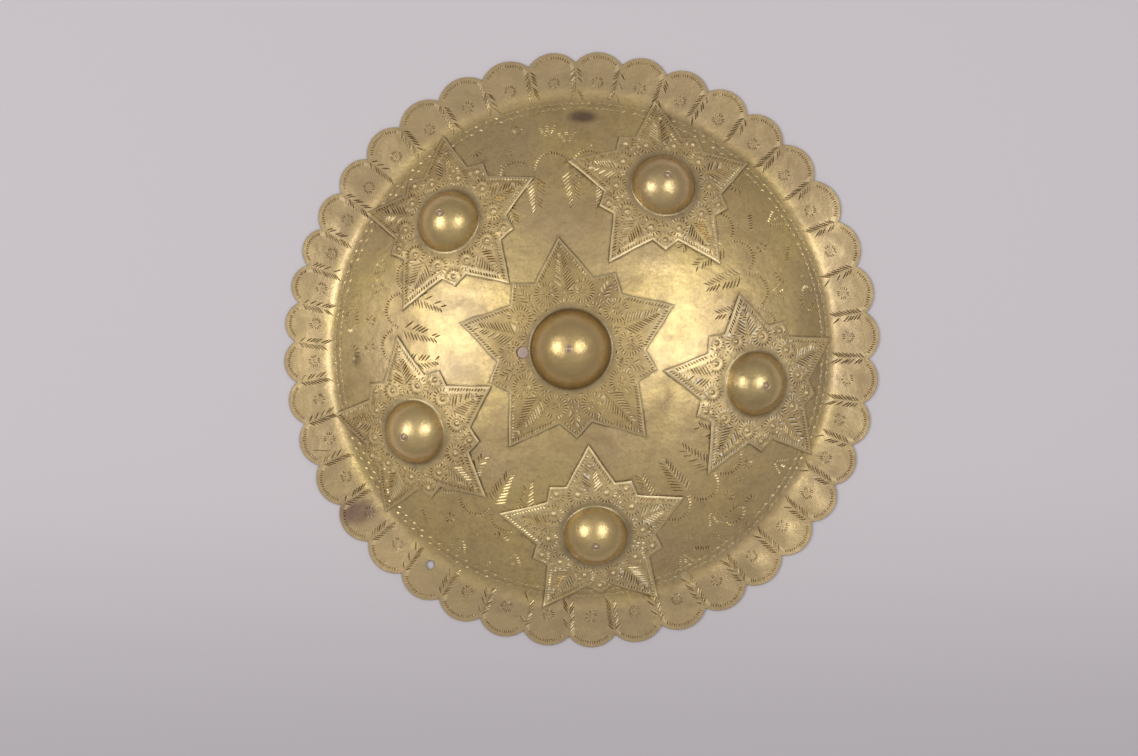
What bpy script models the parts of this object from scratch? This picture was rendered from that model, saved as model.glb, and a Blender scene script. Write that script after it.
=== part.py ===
"""Round dished buckler of chased brass sheet, lying face up on its scalloped brim.

The dish is one raised sheet: a dome, a concave turn and a nearly flat brim cut into lobes.
Six star plates with raised round bosses lie on the dome, each held by one rivet through its boss.
Lengths are in metres, +Z is up, and the brim's underside rests on z = 0 around the origin.
"""

import math

import bpy
import numpy as np
from mathutils import Matrix, Vector
from mathutils.geometry import delaunay_2d_cdt

# Dish
SHIELD_RADIUS = 0.180
DOME_HEIGHT = 0.0483
DISH_SHEET = 0.0012
BRIM_WIDTH = 0.0245
BRIM_LAND_WIDTH = 0.012
BRIM_SLOPE = math.radians(3.0)
TURN_RADIUS = 0.014

# Lobes of the brim, which were laid out by eye and drift a little around the edge
LOBE_COUNT = 40
LOBE_DEPTH = 0.0066
FIRST_NOTCH = math.radians(8.4)
LOBE_DRIFT = ((1, 2.13, -6.0), (2, 1.38, -154.4), (3, 0.43, 15.8), (4, 0.63, -97.2))

# Star plates
STAR_SHEET = 0.0009
NOTCH_SPREAD = math.radians(12.4)
CENTRE_STAR_REACH = 0.0679
CENTRE_LEAF_RATIO = 0.772
CENTRE_NOTCH_RATIO = 0.652
OUTER_STAR_REACH = 0.0585
OUTER_LEAF_RATIO = 0.70
OUTER_NOTCH_RATIO = 0.61
PLATE_GAP = 0.0004

# Bosses, raised from the sheet of their plates
CENTRE_BOSS_RADIUS = 0.0234
OUTER_BOSS_RADIUS = 0.019
BOSS_HEIGHT_RATIO = 0.76
BOSS_TURN_RADIUS = 0.0015

# Rivets
RIVET_SHANK_RADIUS = 0.0012
RIVET_HEAD_RADIUS = 0.0021
RIVET_HEAD_HEIGHT = 0.0010
RIVET_TAIL_RADIUS = 0.00225
RIVET_TAIL_HEIGHT = 0.0010
RIVET_GAP = 0.0003

# Holes left by lost fastenings
PLATE_HOLE_RADIUS = 0.0035
PLATE_HOLE_SIDE = math.radians(184.0)
PLATE_HOLE_FROM_BOSS = 0.0005
BRIM_HOLE_RADIUS = 0.0027
BRIM_HOLE_FROM_EDGE = 0.021
BRIM_HOLE_SIDE = math.radians(235.1)

# Facets
FACET = 0.0145
STAR_FACET = 0.0125
LOBE_SEGMENTS = 6
TURN_SEGMENTS = 3
BOSS_SEGMENTS = 18
BOSS_ROWS = 4
HOLE_SEGMENTS = 10
RIVET_SEGMENTS = 12

# Name, bearing of the plate's centre, how far it was laid off the middle or off the ring of outer
# plates as a share of its reach, and the hand-cut arms as bearing and share of that reach
CENTRE_PLATE = ("centre", 189.7, 0.062,
                ((23.3, 0.985), (96.6, 0.984), (166.6, 1.012), (237.3, 1.012), (310.4, 1.004)))
OUTER_PLATES = (
    ("upper_left", 135.7, -0.019,
     ((27.8, 0.973), (99.9, 1.010), (169.1, 1.003), (241.6, 1.020), (314.5, 0.959))),
    ("upper_right", 62.7, -0.009,
     ((20.4, 0.986), (91.8, 1.029), (164.0, 1.012), (235.9, 1.017), (305.7, 1.000))),
    ("right", -11.3, -0.051,
     ((27.1, 0.993), (100.0, 0.927), (172.0, 0.991), (243.1, 1.036), (312.9, 1.031))),
    ("bottom", -85.0, 0.034,
     ((22.7, 0.979), (93.9, 0.978), (168.4, 1.012), (238.7, 1.056), (309.4, 1.024))),
    ("lower_left", 207.0, 0.002,
     ((30.3, 0.971), (101.9, 1.002), (172.6, 0.995), (243.0, 1.007), (317.3, 0.981))),
)
RING_FROM_CENTRE_REACH = 0.83
RING_FROM_OUTER_REACH = 0.96

# The dish's profile: a spherical dome, a concave turn tangent to it, a sloping brim and a flat land
LAND_START = SHIELD_RADIUS - BRIM_LAND_WIDTH
TURN_END = SHIELD_RADIUS - BRIM_WIDTH
TURN_END_HEIGHT = DISH_SHEET + (LAND_START - TURN_END) * math.tan(BRIM_SLOPE)
TURN_CENTRE_RADIUS = TURN_END + TURN_RADIUS * math.sin(BRIM_SLOPE)
TURN_CENTRE_HEIGHT = TURN_END_HEIGHT + TURN_RADIUS * math.cos(BRIM_SLOPE)
APEX_ABOVE_TURN = DOME_HEIGHT - TURN_CENTRE_HEIGHT
SPHERE_RADIUS = ((APEX_ABOVE_TURN ** 2 - TURN_RADIUS ** 2 + TURN_CENTRE_RADIUS ** 2)
                 / (2 * (TURN_RADIUS + APEX_ABOVE_TURN)))
SPHERE_CENTRE = Vector((0, 0, DOME_HEIGHT - SPHERE_RADIUS))
DOME_FOOT = TURN_CENTRE_RADIUS * SPHERE_RADIUS / (SPHERE_RADIUS + TURN_RADIUS)
DOME_FOOT_ANGLE = math.asin(DOME_FOOT / SPHERE_RADIUS)


def dish_point(x, y):
    """The point of the dish's upper face over a plan point, and the face's upward normal there."""
    radius = math.hypot(x, y)
    if radius <= DOME_FOOT:
        point = Vector((x, y, SPHERE_CENTRE.z + math.sqrt(SPHERE_RADIUS ** 2 - radius ** 2)))
        return point, (point - SPHERE_CENTRE).normalized()
    if radius <= TURN_END:
        slope = math.asin((TURN_CENTRE_RADIUS - radius) / TURN_RADIUS)
        height = TURN_CENTRE_HEIGHT - TURN_RADIUS * math.cos(slope)
    elif radius <= LAND_START:
        slope = BRIM_SLOPE
        height = DISH_SHEET + (LAND_START - radius) * math.tan(BRIM_SLOPE)
    else:
        slope = 0.0
        height = DISH_SHEET
    outward = Vector((x, y, 0)) / radius
    normal = outward * math.sin(slope) + Vector((0, 0, 1)) * math.cos(slope)
    return Vector((x, y, height)), normal


def circle(radius, count, start=0.0):
    """Plan points spaced evenly around the origin."""
    angles = [start + 2 * math.pi * i / count for i in range(count)]
    return [(radius * math.cos(a), radius * math.sin(a)) for a in angles]


def polar(radius, angle):
    """A plan point given by its distance and bearing."""
    return (radius * math.cos(angle), radius * math.sin(angle))


def notch_bearing(index):
    """Bearing of a notch between two lobes, with the drift of a layout made by eye."""
    even = 2 * math.pi * index / LOBE_COUNT + FIRST_NOTCH
    place = 2 * math.pi * (index % LOBE_COUNT) / LOBE_COUNT + math.radians(7.2)
    drift = sum(size * math.sin(wave * place + math.radians(phase)) for wave, size, phase in LOBE_DRIFT)
    return even + math.radians(drift)


def lobed_outline():
    """The brim's edge: every lobe is an arc from notch to notch that reaches the full radius."""
    notch_radius = SHIELD_RADIUS - LOBE_DEPTH
    points = []
    for index in range(LOBE_COUNT):
        start = notch_bearing(index)
        half = (notch_bearing(index + 1) - start) / 2
        middle = start + half
        side = notch_radius * math.sin(half)
        ahead = notch_radius * math.cos(half)
        centre = (SHIELD_RADIUS ** 2 - notch_radius ** 2) / (2 * (SHIELD_RADIUS - ahead))
        arc_radius = SHIELD_RADIUS - centre
        sweep = math.atan2(side, ahead - centre)
        cx, cy = polar(centre, middle)
        for step in range(LOBE_SEGMENTS):
            dx, dy = polar(arc_radius, middle - sweep + 2 * sweep * step / LOBE_SEGMENTS)
            points.append((cx + dx, cy + dy))
    return points


def brim_ring(radius):
    """A ring with a point in line with every notch and every lobe's middle."""
    points = []
    for index in range(LOBE_COUNT):
        start = notch_bearing(index)
        points.append(polar(radius, start))
        points.append(polar(radius, (start + notch_bearing(index + 1)) / 2))
    return points


def inside(points, loop):
    """Which plan points lie inside a closed loop, by counting the sides to their right."""
    points = np.asarray(points)
    ax, ay = np.asarray(loop).T
    bx, by = np.roll(ax, -1), np.roll(ay, -1)
    px, py = points[:, :1], points[:, 1:]
    spans = (ay > py) != (by > py)
    rise = np.where(by == ay, 1.0, by - ay)
    crosses = px < ax + (py - ay) * (bx - ax) / rise
    return (spans & crosses).sum(axis=1) % 2 == 1


def flat_mesh(outline, holes, folds, loose):
    """Triangles of a flat sheet with holes, which keep the sides of every loop and fold."""
    points = []
    sides = []
    for loop in [outline, *holes, *folds]:
        first = len(points)
        points += loop
        sides += [(first + i, first + (i + 1) % len(loop)) for i in range(len(loop))]
    points += loose
    found = delaunay_2d_cdt([Vector(p) for p in points], sides, [], 0, 1e-7)
    corners = [tuple(p) for p in found[0]]
    faces = found[2]
    middles = [tuple(sum(corners[i][axis] for i in face) / 3 for axis in (0, 1)) for face in faces]
    keep = inside(middles, outline)
    for hole in holes:
        keep &= ~inside(middles, hole)
    return corners, [face for face, kept in zip(faces, keep) if kept]


def clear_of(points, centres, distance):
    """The plan points that keep a distance from each of the given centres."""
    return [p for p in points if all(math.dist(p, c) > distance for c in centres)]


def metal(name, colour, roughness):
    """A bare metal with the part's own colour."""
    material = bpy.data.materials.new(name)
    material.use_nodes = True
    shader = material.node_tree.nodes["Principled BSDF"]
    shader.inputs["Base Color"].default_value = (*colour, 1)
    shader.inputs["Metallic"].default_value = 1.0
    shader.inputs["Roughness"].default_value = roughness
    return material


def add_object(name, mesh, material, parent, matrix=Matrix.Identity(4)):
    """Link a mesh as a named object, placed under the shield's empty."""
    mesh.materials.append(material)
    piece = bpy.data.objects.new(name, mesh)
    bpy.context.scene.collection.objects.link(piece)
    piece.parent = parent
    piece.matrix_world = matrix
    return piece


def smooth_mesh(name, corners, faces):
    """A mesh from corners and faces, shaded smooth except over sharp edges."""
    mesh = bpy.data.meshes.new(name)
    mesh.from_pydata(corners, [], faces)
    mesh.shade_smooth()
    mesh.set_sharp_from_angle(angle=math.radians(35))
    return mesh


def add_thickness(piece, thickness):
    """Give a sheet its wall, inward from its outer face."""
    solidify = piece.modifiers.new("wall", "SOLIDIFY")
    solidify.thickness = thickness
    solidify.offset = -1
    return solidify


class Plate:
    """A star plate's place on the dome: its centre line, its arms and its sizes."""

    def __init__(self, name, bearing, arc, arms, reach, leaf_ratio, notch_ratio, boss_radius):
        self.name = name
        self.reach = reach
        self.leaf = reach * leaf_ratio
        self.notch = reach * notch_ratio
        self.arms = [(math.radians(angle), reach * share) for angle, share in arms]
        self.boss_radius = boss_radius
        self.boss_height = boss_radius * BOSS_HEIGHT_RATIO
        lean = arc / SPHERE_RADIUS
        turn = Matrix.Rotation(math.radians(bearing), 4, "Z")
        self.frame = turn @ Matrix.Rotation(lean, 4, "Y") @ turn.inverted()
        self.axis = self.frame @ Vector((0, 0, 1))
        self.seat = SPHERE_CENTRE + self.axis * SPHERE_RADIUS

    def plan(self, u, v):
        """The plan point reached by walking over the dome from the plate's centre."""
        distance = math.hypot(u, v)
        if distance == 0:
            return (self.seat.x, self.seat.y)
        lean = distance / SPHERE_RADIUS
        aside = self.frame @ Vector((u / distance, v / distance, 0))
        along = self.axis * math.cos(lean) + aside * math.sin(lean)
        return (along.x * SPHERE_RADIUS, along.y * SPHERE_RADIUS)

    def cap_radius(self):
        """Radius of the sphere that the boss's cap is part of."""
        return (self.boss_radius ** 2 + self.boss_height ** 2) / (2 * self.boss_height)

    def boss_foot(self):
        """Distance from the plate's centre at which the sheet starts to turn up into the boss."""
        cap = self.cap_radius()
        drop = cap - self.boss_height
        return math.sqrt((cap + BOSS_TURN_RADIUS) ** 2 - (drop + BOSS_TURN_RADIUS) ** 2)

    def boss_rise(self, distance):
        """Height of the boss above the plate at a distance from its axis."""
        cap = self.cap_radius()
        foot = self.boss_foot()
        cap_edge = foot * cap / (cap + BOSS_TURN_RADIUS)
        if distance >= foot:
            return 0.0
        if distance >= cap_edge:
            return BOSS_TURN_RADIUS - math.sqrt(BOSS_TURN_RADIUS ** 2 - (foot - distance) ** 2)
        return math.sqrt(cap ** 2 - distance ** 2) - (cap - self.boss_height)

    def boss_rings(self):
        """Distances of the rings that shape the boss, from its foot in to the rivet's hole."""
        cap = self.cap_radius()
        foot = self.boss_foot()
        cap_edge = foot * cap / (cap + BOSS_TURN_RADIUS)
        steepest = math.asin(cap_edge / cap)
        turned = foot - BOSS_TURN_RADIUS * math.sin(steepest / 2)
        cap_rings = [cap * math.sin(steepest * row / BOSS_ROWS) for row in range(BOSS_ROWS, 0, -1)]
        return [turned, *cap_rings, rivet_hole_radius()]

    def outline(self):
        """The star's edge: long arms, a small leaf midway between every two, and notches beside it."""
        corners = []
        for index, (tip, arm_reach) in enumerate(self.arms):
            after = self.arms[(index + 1) % len(self.arms)][0]
            leaf = tip + (after - tip) % (2 * math.pi) / 2
            corners += [
                polar(arm_reach, tip),
                polar(self.notch, leaf - NOTCH_SPREAD),
                polar(self.leaf, leaf),
                polar(self.notch, leaf + NOTCH_SPREAD),
            ]
        edge = []
        for start, end in zip(corners, corners[1:] + corners[:1]):
            parts = math.ceil(math.dist(start, end) / STAR_FACET)
            for part in range(parts):
                share = part / parts
                edge.append(tuple(a + (b - a) * share for a, b in zip(start, end)))
        return edge


def rivet_hole_radius():
    """The rivets pass their holes with a small clearance."""
    return RIVET_SHANK_RADIUS + RIVET_GAP


def make_plates():
    """The centre plate and the ring of five around it, which keeps its distance from the centre."""
    name, bearing, lay, arms = CENTRE_PLATE
    plates = [Plate(name, bearing, CENTRE_STAR_REACH * lay, arms, CENTRE_STAR_REACH, CENTRE_LEAF_RATIO,
                    CENTRE_NOTCH_RATIO, CENTRE_BOSS_RADIUS)]
    ring = CENTRE_STAR_REACH * RING_FROM_CENTRE_REACH + OUTER_STAR_REACH * RING_FROM_OUTER_REACH
    for name, bearing, lay, arms in OUTER_PLATES:
        plates.append(Plate(name, bearing, ring + OUTER_STAR_REACH * lay, arms, OUTER_STAR_REACH,
                            OUTER_LEAF_RATIO, OUTER_NOTCH_RATIO, OUTER_BOSS_RADIUS))
    return plates


def plate_hole(plate):
    """The empty hole in the centre plate, beside its boss, in the plate's own flat measure."""
    distance = plate.boss_foot() + PLATE_HOLE_FROM_BOSS + PLATE_HOLE_RADIUS
    cx, cy = polar(distance, PLATE_HOLE_SIDE)
    return [(cx + x, cy + y) for x, y in circle(PLATE_HOLE_RADIUS, HOLE_SEGMENTS)]


def make_dish(plates, material, parent):
    """The raised sheet: rings of facets over the dome, folds along the brim, and its holes."""
    holes = [[plate.plan(x, y) for x, y in circle(rivet_hole_radius(), HOLE_SEGMENTS)]
             for plate in plates]
    bx, by = polar(SHIELD_RADIUS - BRIM_HOLE_FROM_EDGE, BRIM_HOLE_SIDE)
    holes.append([(bx + x, by + y) for x, y in circle(BRIM_HOLE_RADIUS, HOLE_SEGMENTS)])

    rows = math.ceil(DOME_FOOT_ANGLE * SPHERE_RADIUS / FACET)
    dome = [(0.0, 0.0)]
    for row in range(1, rows):
        radius = SPHERE_RADIUS * math.sin(DOME_FOOT_ANGLE * row / rows)
        dome += circle(radius, math.ceil(2 * math.pi * radius / FACET), row * 0.5)
    turn_slopes = [DOME_FOOT_ANGLE + (BRIM_SLOPE - DOME_FOOT_ANGLE) * i / TURN_SEGMENTS
                   for i in range(TURN_SEGMENTS + 1)]
    folds = [brim_ring(TURN_CENTRE_RADIUS - TURN_RADIUS * math.sin(slope)) for slope in turn_slopes]
    land = brim_ring(LAND_START)
    centres = [tuple(np.mean(hole, axis=0)) for hole in holes]
    dome = clear_of(dome, centres, BRIM_HOLE_RADIUS + FACET * 0.25)

    corners, faces = flat_mesh(lobed_outline(), holes, folds[:-1], dome + folds[-1] + land)
    lifted = [dish_point(x, y)[0] for x, y in corners]
    dish = add_object("shield_dish", smooth_mesh("shield_dish", lifted, faces), material, parent)
    add_thickness(dish, DISH_SHEET)
    return dish


def make_star(plate, hole, material, parent):
    """A star plate with its boss, which follows the dome at a small gap."""
    foot = plate.boss_foot()
    rim = circle(foot, BOSS_SEGMENTS)
    inner_holes = [rim, *([hole] if hole else [])]
    outline = plate.outline()
    rows = math.ceil(plate.reach / STAR_FACET)
    field = []
    for row in range(1, rows):
        radius = foot + (plate.reach - foot) * row / rows
        field += circle(radius, math.ceil(2 * math.pi * radius / STAR_FACET), row * 0.5)
    field = [p for p, kept in zip(field, inside(field, outline)) if kept]
    field = clear_of(field, outline, STAR_FACET * 0.5)
    field = clear_of(field, hole, STAR_FACET * 0.35)
    corners, faces = flat_mesh(outline, inner_holes, [], field)

    start = [min(range(len(corners)), key=lambda i: math.dist(corners[i], p)) for p in rim]
    for distance in plate.boss_rings():
        ring = [len(corners) + i for i in range(BOSS_SEGMENTS)]
        corners += circle(distance, BOSS_SEGMENTS)
        for i in range(BOSS_SEGMENTS):
            after = (i + 1) % BOSS_SEGMENTS
            faces.append([start[i], start[after], ring[after], ring[i]])
        start = ring

    lifted = []
    for u, v in corners:
        point, normal = dish_point(*plate.plan(u, v))
        lift = normal * (PLATE_GAP + STAR_SHEET)
        lifted.append(point + lift + plate.axis * plate.boss_rise(math.hypot(u, v)))
    place = Matrix.Translation(plate.seat) @ plate.frame
    name = "star_boss_" + plate.name
    mesh = smooth_mesh(name, lifted, faces)
    mesh.transform(place.inverted())
    star = add_object(name, mesh, material, parent, place)
    add_thickness(star, STAR_SHEET)
    return star


def make_rivet(plate, material, parent):
    """A rivet along the boss's axis: domed head, shank through boss and dish, hammered tail."""
    seat = PLATE_GAP + STAR_SHEET + plate.boss_height + RIVET_GAP
    back = -DISH_SHEET - RIVET_GAP
    dome_radius = (RIVET_HEAD_RADIUS ** 2 + RIVET_HEAD_HEIGHT ** 2) / (2 * RIVET_HEAD_HEIGHT)
    dome_edge = math.asin(min(1.0, RIVET_HEAD_RADIUS / dome_radius))
    profile = []
    for share in (0.0, 0.5, 1.0):
        angle = dome_edge * share
        rise = dome_radius * (math.cos(angle) - 1)
        profile.append((dome_radius * math.sin(angle), seat + RIVET_HEAD_HEIGHT + rise))
    profile += [
        (RIVET_SHANK_RADIUS, seat),
        (RIVET_SHANK_RADIUS, back),
        (RIVET_TAIL_RADIUS, back - RIVET_TAIL_HEIGHT * 0.35),
        (RIVET_TAIL_RADIUS * 0.7, back - RIVET_TAIL_HEIGHT),
        (0.0, back - RIVET_TAIL_HEIGHT),
    ]
    mesh = bpy.data.meshes.new("rivet_" + plate.name)
    mesh.from_pydata([(x, 0, z) for x, z in profile], [(i, i + 1) for i in range(len(profile) - 1)], [])
    place = Matrix.Translation(plate.seat) @ plate.frame
    rivet = add_object("rivet_" + plate.name, mesh, material, parent, place)
    screw = rivet.modifiers.new("turned", "SCREW")
    screw.axis = "Z"
    screw.steps = RIVET_SEGMENTS
    screw.render_steps = RIVET_SEGMENTS
    screw.use_merge_vertices = True
    screw.merge_threshold = 0.00001
    screw.use_smooth_shade = True
    return rivet


for old in list(bpy.data.objects):
    bpy.data.objects.remove(old, do_unlink=True)

shield = bpy.data.objects.new("shield", None)
bpy.context.scene.collection.objects.link(shield)
star_plates = make_plates()
make_dish(star_plates, metal("dish_brass", (0.48, 0.34, 0.14), 0.38), shield)
for star_plate in star_plates:
    star_hole = plate_hole(star_plate) if star_plate is star_plates[0] else []
    star_brass = metal("star_brass_" + star_plate.name, (0.42, 0.30, 0.12), 0.36)
    rivet_brass = metal("rivet_brass_" + star_plate.name, (0.45, 0.27, 0.17), 0.42)
    make_star(star_plate, star_hole, star_brass, shield)
    make_rivet(star_plate, rivet_brass, shield)
bpy.context.view_layer.update()
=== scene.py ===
"""A buckler of chased brass sheet, lying face up on a pale floor.

Shapes are worked out in millimetres as whole arrays, and go into their meshes in metres.
Plan and plate measures run along +X (right) and +Y (the shield's top), bearings turn from +X to +Y.
"""

import math

import bpy
import numpy as np
from mathutils import Matrix, Vector
from mathutils.geometry import delaunay_2d_cdt


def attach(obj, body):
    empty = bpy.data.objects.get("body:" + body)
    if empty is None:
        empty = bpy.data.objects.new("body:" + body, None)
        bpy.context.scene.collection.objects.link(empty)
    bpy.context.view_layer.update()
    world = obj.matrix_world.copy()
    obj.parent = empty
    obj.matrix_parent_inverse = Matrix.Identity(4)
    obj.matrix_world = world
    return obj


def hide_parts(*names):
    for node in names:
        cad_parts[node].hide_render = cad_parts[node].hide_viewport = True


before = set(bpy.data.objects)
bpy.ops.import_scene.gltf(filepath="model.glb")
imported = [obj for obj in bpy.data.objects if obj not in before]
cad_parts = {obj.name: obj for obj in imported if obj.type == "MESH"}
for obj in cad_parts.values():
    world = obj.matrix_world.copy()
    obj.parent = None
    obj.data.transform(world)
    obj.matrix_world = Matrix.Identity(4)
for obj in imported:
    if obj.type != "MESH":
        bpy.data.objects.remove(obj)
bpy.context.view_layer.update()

# Camera
# The shield is seen face on from a tripod, a hair off its axis, and sits left of and above the
# middle of the picture, which the small shift gives.
PHOTO_WIDTH = 1138
PHOTO_HEIGHT = 756
SHIELD_PIXEL = (580.5, 349.0)
MM = 0.001
CAMERA_DISTANCE = 1500.0
PIXEL_MM = 0.603
CAMERA_LEAN_RIGHT = math.radians(2.0)
CAMERA_LEAN_DOWN = math.radians(0.76)
AIM_HEIGHT = 4.0

camera_data = bpy.data.cameras.new("camera")
camera_data.sensor_width = 36.0
camera_data.lens = camera_data.sensor_width * CAMERA_DISTANCE / PIXEL_MM / PHOTO_WIDTH
camera_data.shift_x = (PHOTO_WIDTH / 2 - SHIELD_PIXEL[0]) / PHOTO_WIDTH
camera_data.shift_y = (SHIELD_PIXEL[1] - PHOTO_HEIGHT / 2) / PHOTO_WIDTH
camera_data.clip_end = 20.0
camera = bpy.data.objects.new("camera", camera_data)
bpy.context.scene.collection.objects.link(camera)
turn = Matrix.Rotation(CAMERA_LEAN_RIGHT, 4, "Y") @ Matrix.Rotation(CAMERA_LEAN_DOWN, 4, "X")
aim = Vector((0, 0, AIM_HEIGHT * MM))
camera.matrix_world = Matrix.Translation(aim + turn @ Vector((0, 0, CAMERA_DISTANCE * MM))) @ turn
bpy.context.scene.camera = camera

# Floor
# A sheet of pale, faintly violet studio paper, with painted shade that greys it towards the front.
# Matt paper gives the metal a soft pale surround.
PAPER_SIZE = 6.0
PAPER_HEX = "dfdade"
PAPER_FRONT_SHADE_HEX = "c9c5c9"
PAPER_FADE = (-0.06, -0.26)
PAPER_DROP = 0.0002


def linear(hex_colour):
    """Linear red, green, blue and a full alpha from an sRGB hex colour."""
    values = [int(hex_colour[i:i + 2], 16) / 255 for i in (0, 2, 4)]
    return (*[v / 12.92 if v <= 0.04045 else ((v + 0.055) / 1.055) ** 2.4 for v in values], 1.0)


def add_node(tree, kind, feeds=None, **settings):
    """Add a shader node. Settings are its own properties; feeds go to its sockets, by name or
    number, as plain values or as another node's output."""
    made = tree.nodes.new(kind)
    for key, value in settings.items():
        setattr(made, key, value)
    for key, value in (feeds or {}).items():
        socket = made.inputs[key]
        if isinstance(value, bpy.types.NodeSocket):
            tree.links.new(value, socket)
        else:
            socket.default_value = value
    return made


def new_material(name):
    """An empty node material and its tree, with the output node in place."""
    material = bpy.data.materials.new(name)
    material.use_nodes = True
    material.node_tree.nodes.clear()
    return material, material.node_tree


paper, tree = new_material("studio_paper")
place = add_node(tree, "ShaderNodeTexCoord").outputs["Object"]
across = add_node(tree, "ShaderNodeSeparateXYZ", {0: place})
# Painted shade: the paper's colour greys towards the front
fade = add_node(tree, "ShaderNodeMapRange", {
    "Value": across.outputs["Y"], "From Min": PAPER_FADE[0], "From Max": PAPER_FADE[1]},
    interpolation_type="SMOOTHSTEP")
shade = add_node(tree, "ShaderNodeMix", {
    0: fade.outputs[0], 6: linear(PAPER_HEX), 7: linear(PAPER_FRONT_SHADE_HEX)}, data_type="RGBA")
shader = add_node(tree, "ShaderNodeBsdfPrincipled", {
    "Base Color": shade.outputs[2], "Roughness": 0.95, "Specular IOR Level": 0.2})
add_node(tree, "ShaderNodeOutputMaterial", {"Surface": shader.outputs[0]})
floor_mesh = bpy.data.meshes.new("floor")
side = PAPER_SIZE / 2
floor_mesh.from_pydata([(-side, -side, 0), (side, -side, 0), (side, side, 0), (-side, side, 0)],
                       [], [(0, 1, 2, 3)])
floor_mesh.materials.append(paper)
floor = bpy.data.objects.new("floor", floor_mesh)
floor.location.z = -PAPER_DROP
bpy.context.scene.collection.objects.link(floor)

# Lights
# Two tall soft boxes stand left and right of the camera and make the paired spots on every boss.
# The pale room fills the rest, its ceiling lighter than its walls.
SOFT_BOXES = (
    # name, angle right of the axis, angle up the picture, distance, width, height, watts
    ("left_box", -38.0, 4.0, 1.5, 0.42, 0.66, 4.9),
    ("right_box", 26.5, 5.0, 1.5, 0.40, 0.66, 4.3),
)
WALL_HEX = "918d8d"
CEILING_HEX = "bebbbc"

for name, right, up, distance, width, height, watts in SOFT_BOXES:
    light_data = bpy.data.lights.new(name, "AREA")
    light_data.shape = "RECTANGLE"
    light_data.size = width
    light_data.size_y = height
    light_data.energy = watts
    light = bpy.data.objects.new(name, light_data)
    bpy.context.scene.collection.objects.link(light)
    swing = (Matrix.Rotation(math.radians(right), 4, "Y")
             @ Matrix.Rotation(math.radians(-up), 4, "X"))
    light.matrix_world = swing @ Matrix.Translation(Vector((0, 0, distance)))

world = bpy.data.worlds.new("room")
bpy.context.scene.world = world
world.use_nodes = True
towards = add_node(world.node_tree, "ShaderNodeTexCoord").outputs["Generated"]
upward = add_node(world.node_tree, "ShaderNodeSeparateXYZ", {0: towards}).outputs["Z"]
room = add_node(world.node_tree, "ShaderNodeMix", {
    0: upward, 6: linear(WALL_HEX), 7: linear(CEILING_HEX)}, data_type="RGBA")
background = world.node_tree.nodes["Background"]
world.node_tree.links.new(room.outputs[2], background.inputs["Color"])
bpy.context.scene.view_settings.view_transform = "Standard"

# Dish
# One disc of brass sheet, hammered up cold into a dome with a nearly flat brim, its edge cut into
# forty lobes and filed, then struck all over with chisels and punches over pitch.
SHIELD_RADIUS = 179.95
DOME_HEIGHT = 48.3
DISH_SHEET = 1.2
BRIM_WIDTH = 24.5
BRIM_LAND_WIDTH = 12.0
BRIM_SLOPE = math.radians(3.0)
TURN_RADIUS = 14.0
LOBE_COUNT = 40
LOBE_DEPTH = 6.6
FIRST_NOTCH = 8.4
# Drift of the notches: waves around the shield, degrees, phase
LOBE_DRIFT = ((1, 2.13, -6.0), (2, 1.38, -154.4), (3, 0.43, 15.8), (4, 0.63, -97.2))
DRIFT_START = 7.2
LOBE_SEGMENTS = 14
LAND_START = SHIELD_RADIUS - BRIM_LAND_WIDTH
TURN_END = SHIELD_RADIUS - BRIM_WIDTH
TURN_CENTRE_RADIUS = TURN_END + TURN_RADIUS * math.sin(BRIM_SLOPE)
TURN_CENTRE_HEIGHT = (DISH_SHEET + (LAND_START - TURN_END) * math.tan(BRIM_SLOPE)
                      + TURN_RADIUS * math.cos(BRIM_SLOPE))
APEX_RISE = DOME_HEIGHT - TURN_CENTRE_HEIGHT
SPHERE_RADIUS = ((APEX_RISE ** 2 - TURN_RADIUS ** 2 + TURN_CENTRE_RADIUS ** 2)
                 / (2 * (TURN_RADIUS + APEX_RISE)))
DOME_FOOT = TURN_CENTRE_RADIUS * SPHERE_RADIUS / (SPHERE_RADIUS + TURN_RADIUS)
EDGE_BEVEL = 0.28
HAND_SEED = 14
hand = np.random.default_rng(HAND_SEED)

# Waves left by the hammer: length, height on the dome, height on the brim
HAMMER_WAVES = ((70.0, 0.16, 0.05), (46.0, 0.10, 0.08), (31.0, 0.05, 0.07), (22.0, 0.025, 0.05))
# Places where the brim was bent and hammered back: bearing, distance, radius, height
BRIM_BENDS = (
    (131.0, 168.0, 5.0, 0.75), (137.5, 163.0, 4.5, -0.4), (145.0, 168.0, 5.0, 0.7),
    (152.5, 164.0, 5.0, 0.8), (160.0, 167.0, 6.0, 0.6), (204.0, 168.0, 6.0, 0.5),
    (326.0, 168.0, 6.0, 0.7), (318.0, 164.0, 5.0, 0.65), (309.0, 167.0, 5.0, 0.7),
    (300.0, 164.0, 6.0, 0.45), (265.0, 164.0, 8.0, 0.45), (30.0, 168.0, 8.0, 0.35),
    (76.0, 166.0, 7.0, 0.4), (104.0, 166.0, 6.0, 0.45), (118.0, 165.0, 5.0, 0.4),
    (232.0, 166.0, 6.0, 0.4), (284.0, 166.0, 5.0, 0.4), (345.0, 166.0, 6.0, 0.4),
)
wave_turns = hand.uniform(0, 2 * math.pi, (len(HAMMER_WAVES), 3))
wave_starts = hand.uniform(0, 2 * math.pi, (len(HAMMER_WAVES), 3))


def ramp(values, low, high):
    """Smooth step: 0 below low, 1 above high, and an S-curve between them."""
    share = np.clip((values - low) / (high - low), 0, 1)
    return share * share * (3 - 2 * share)


def polar(distance, bearing):
    """Plan x and y from a distance and a bearing in degrees."""
    angle = np.radians(bearing)
    return distance * np.cos(angle), distance * np.sin(angle)


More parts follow.
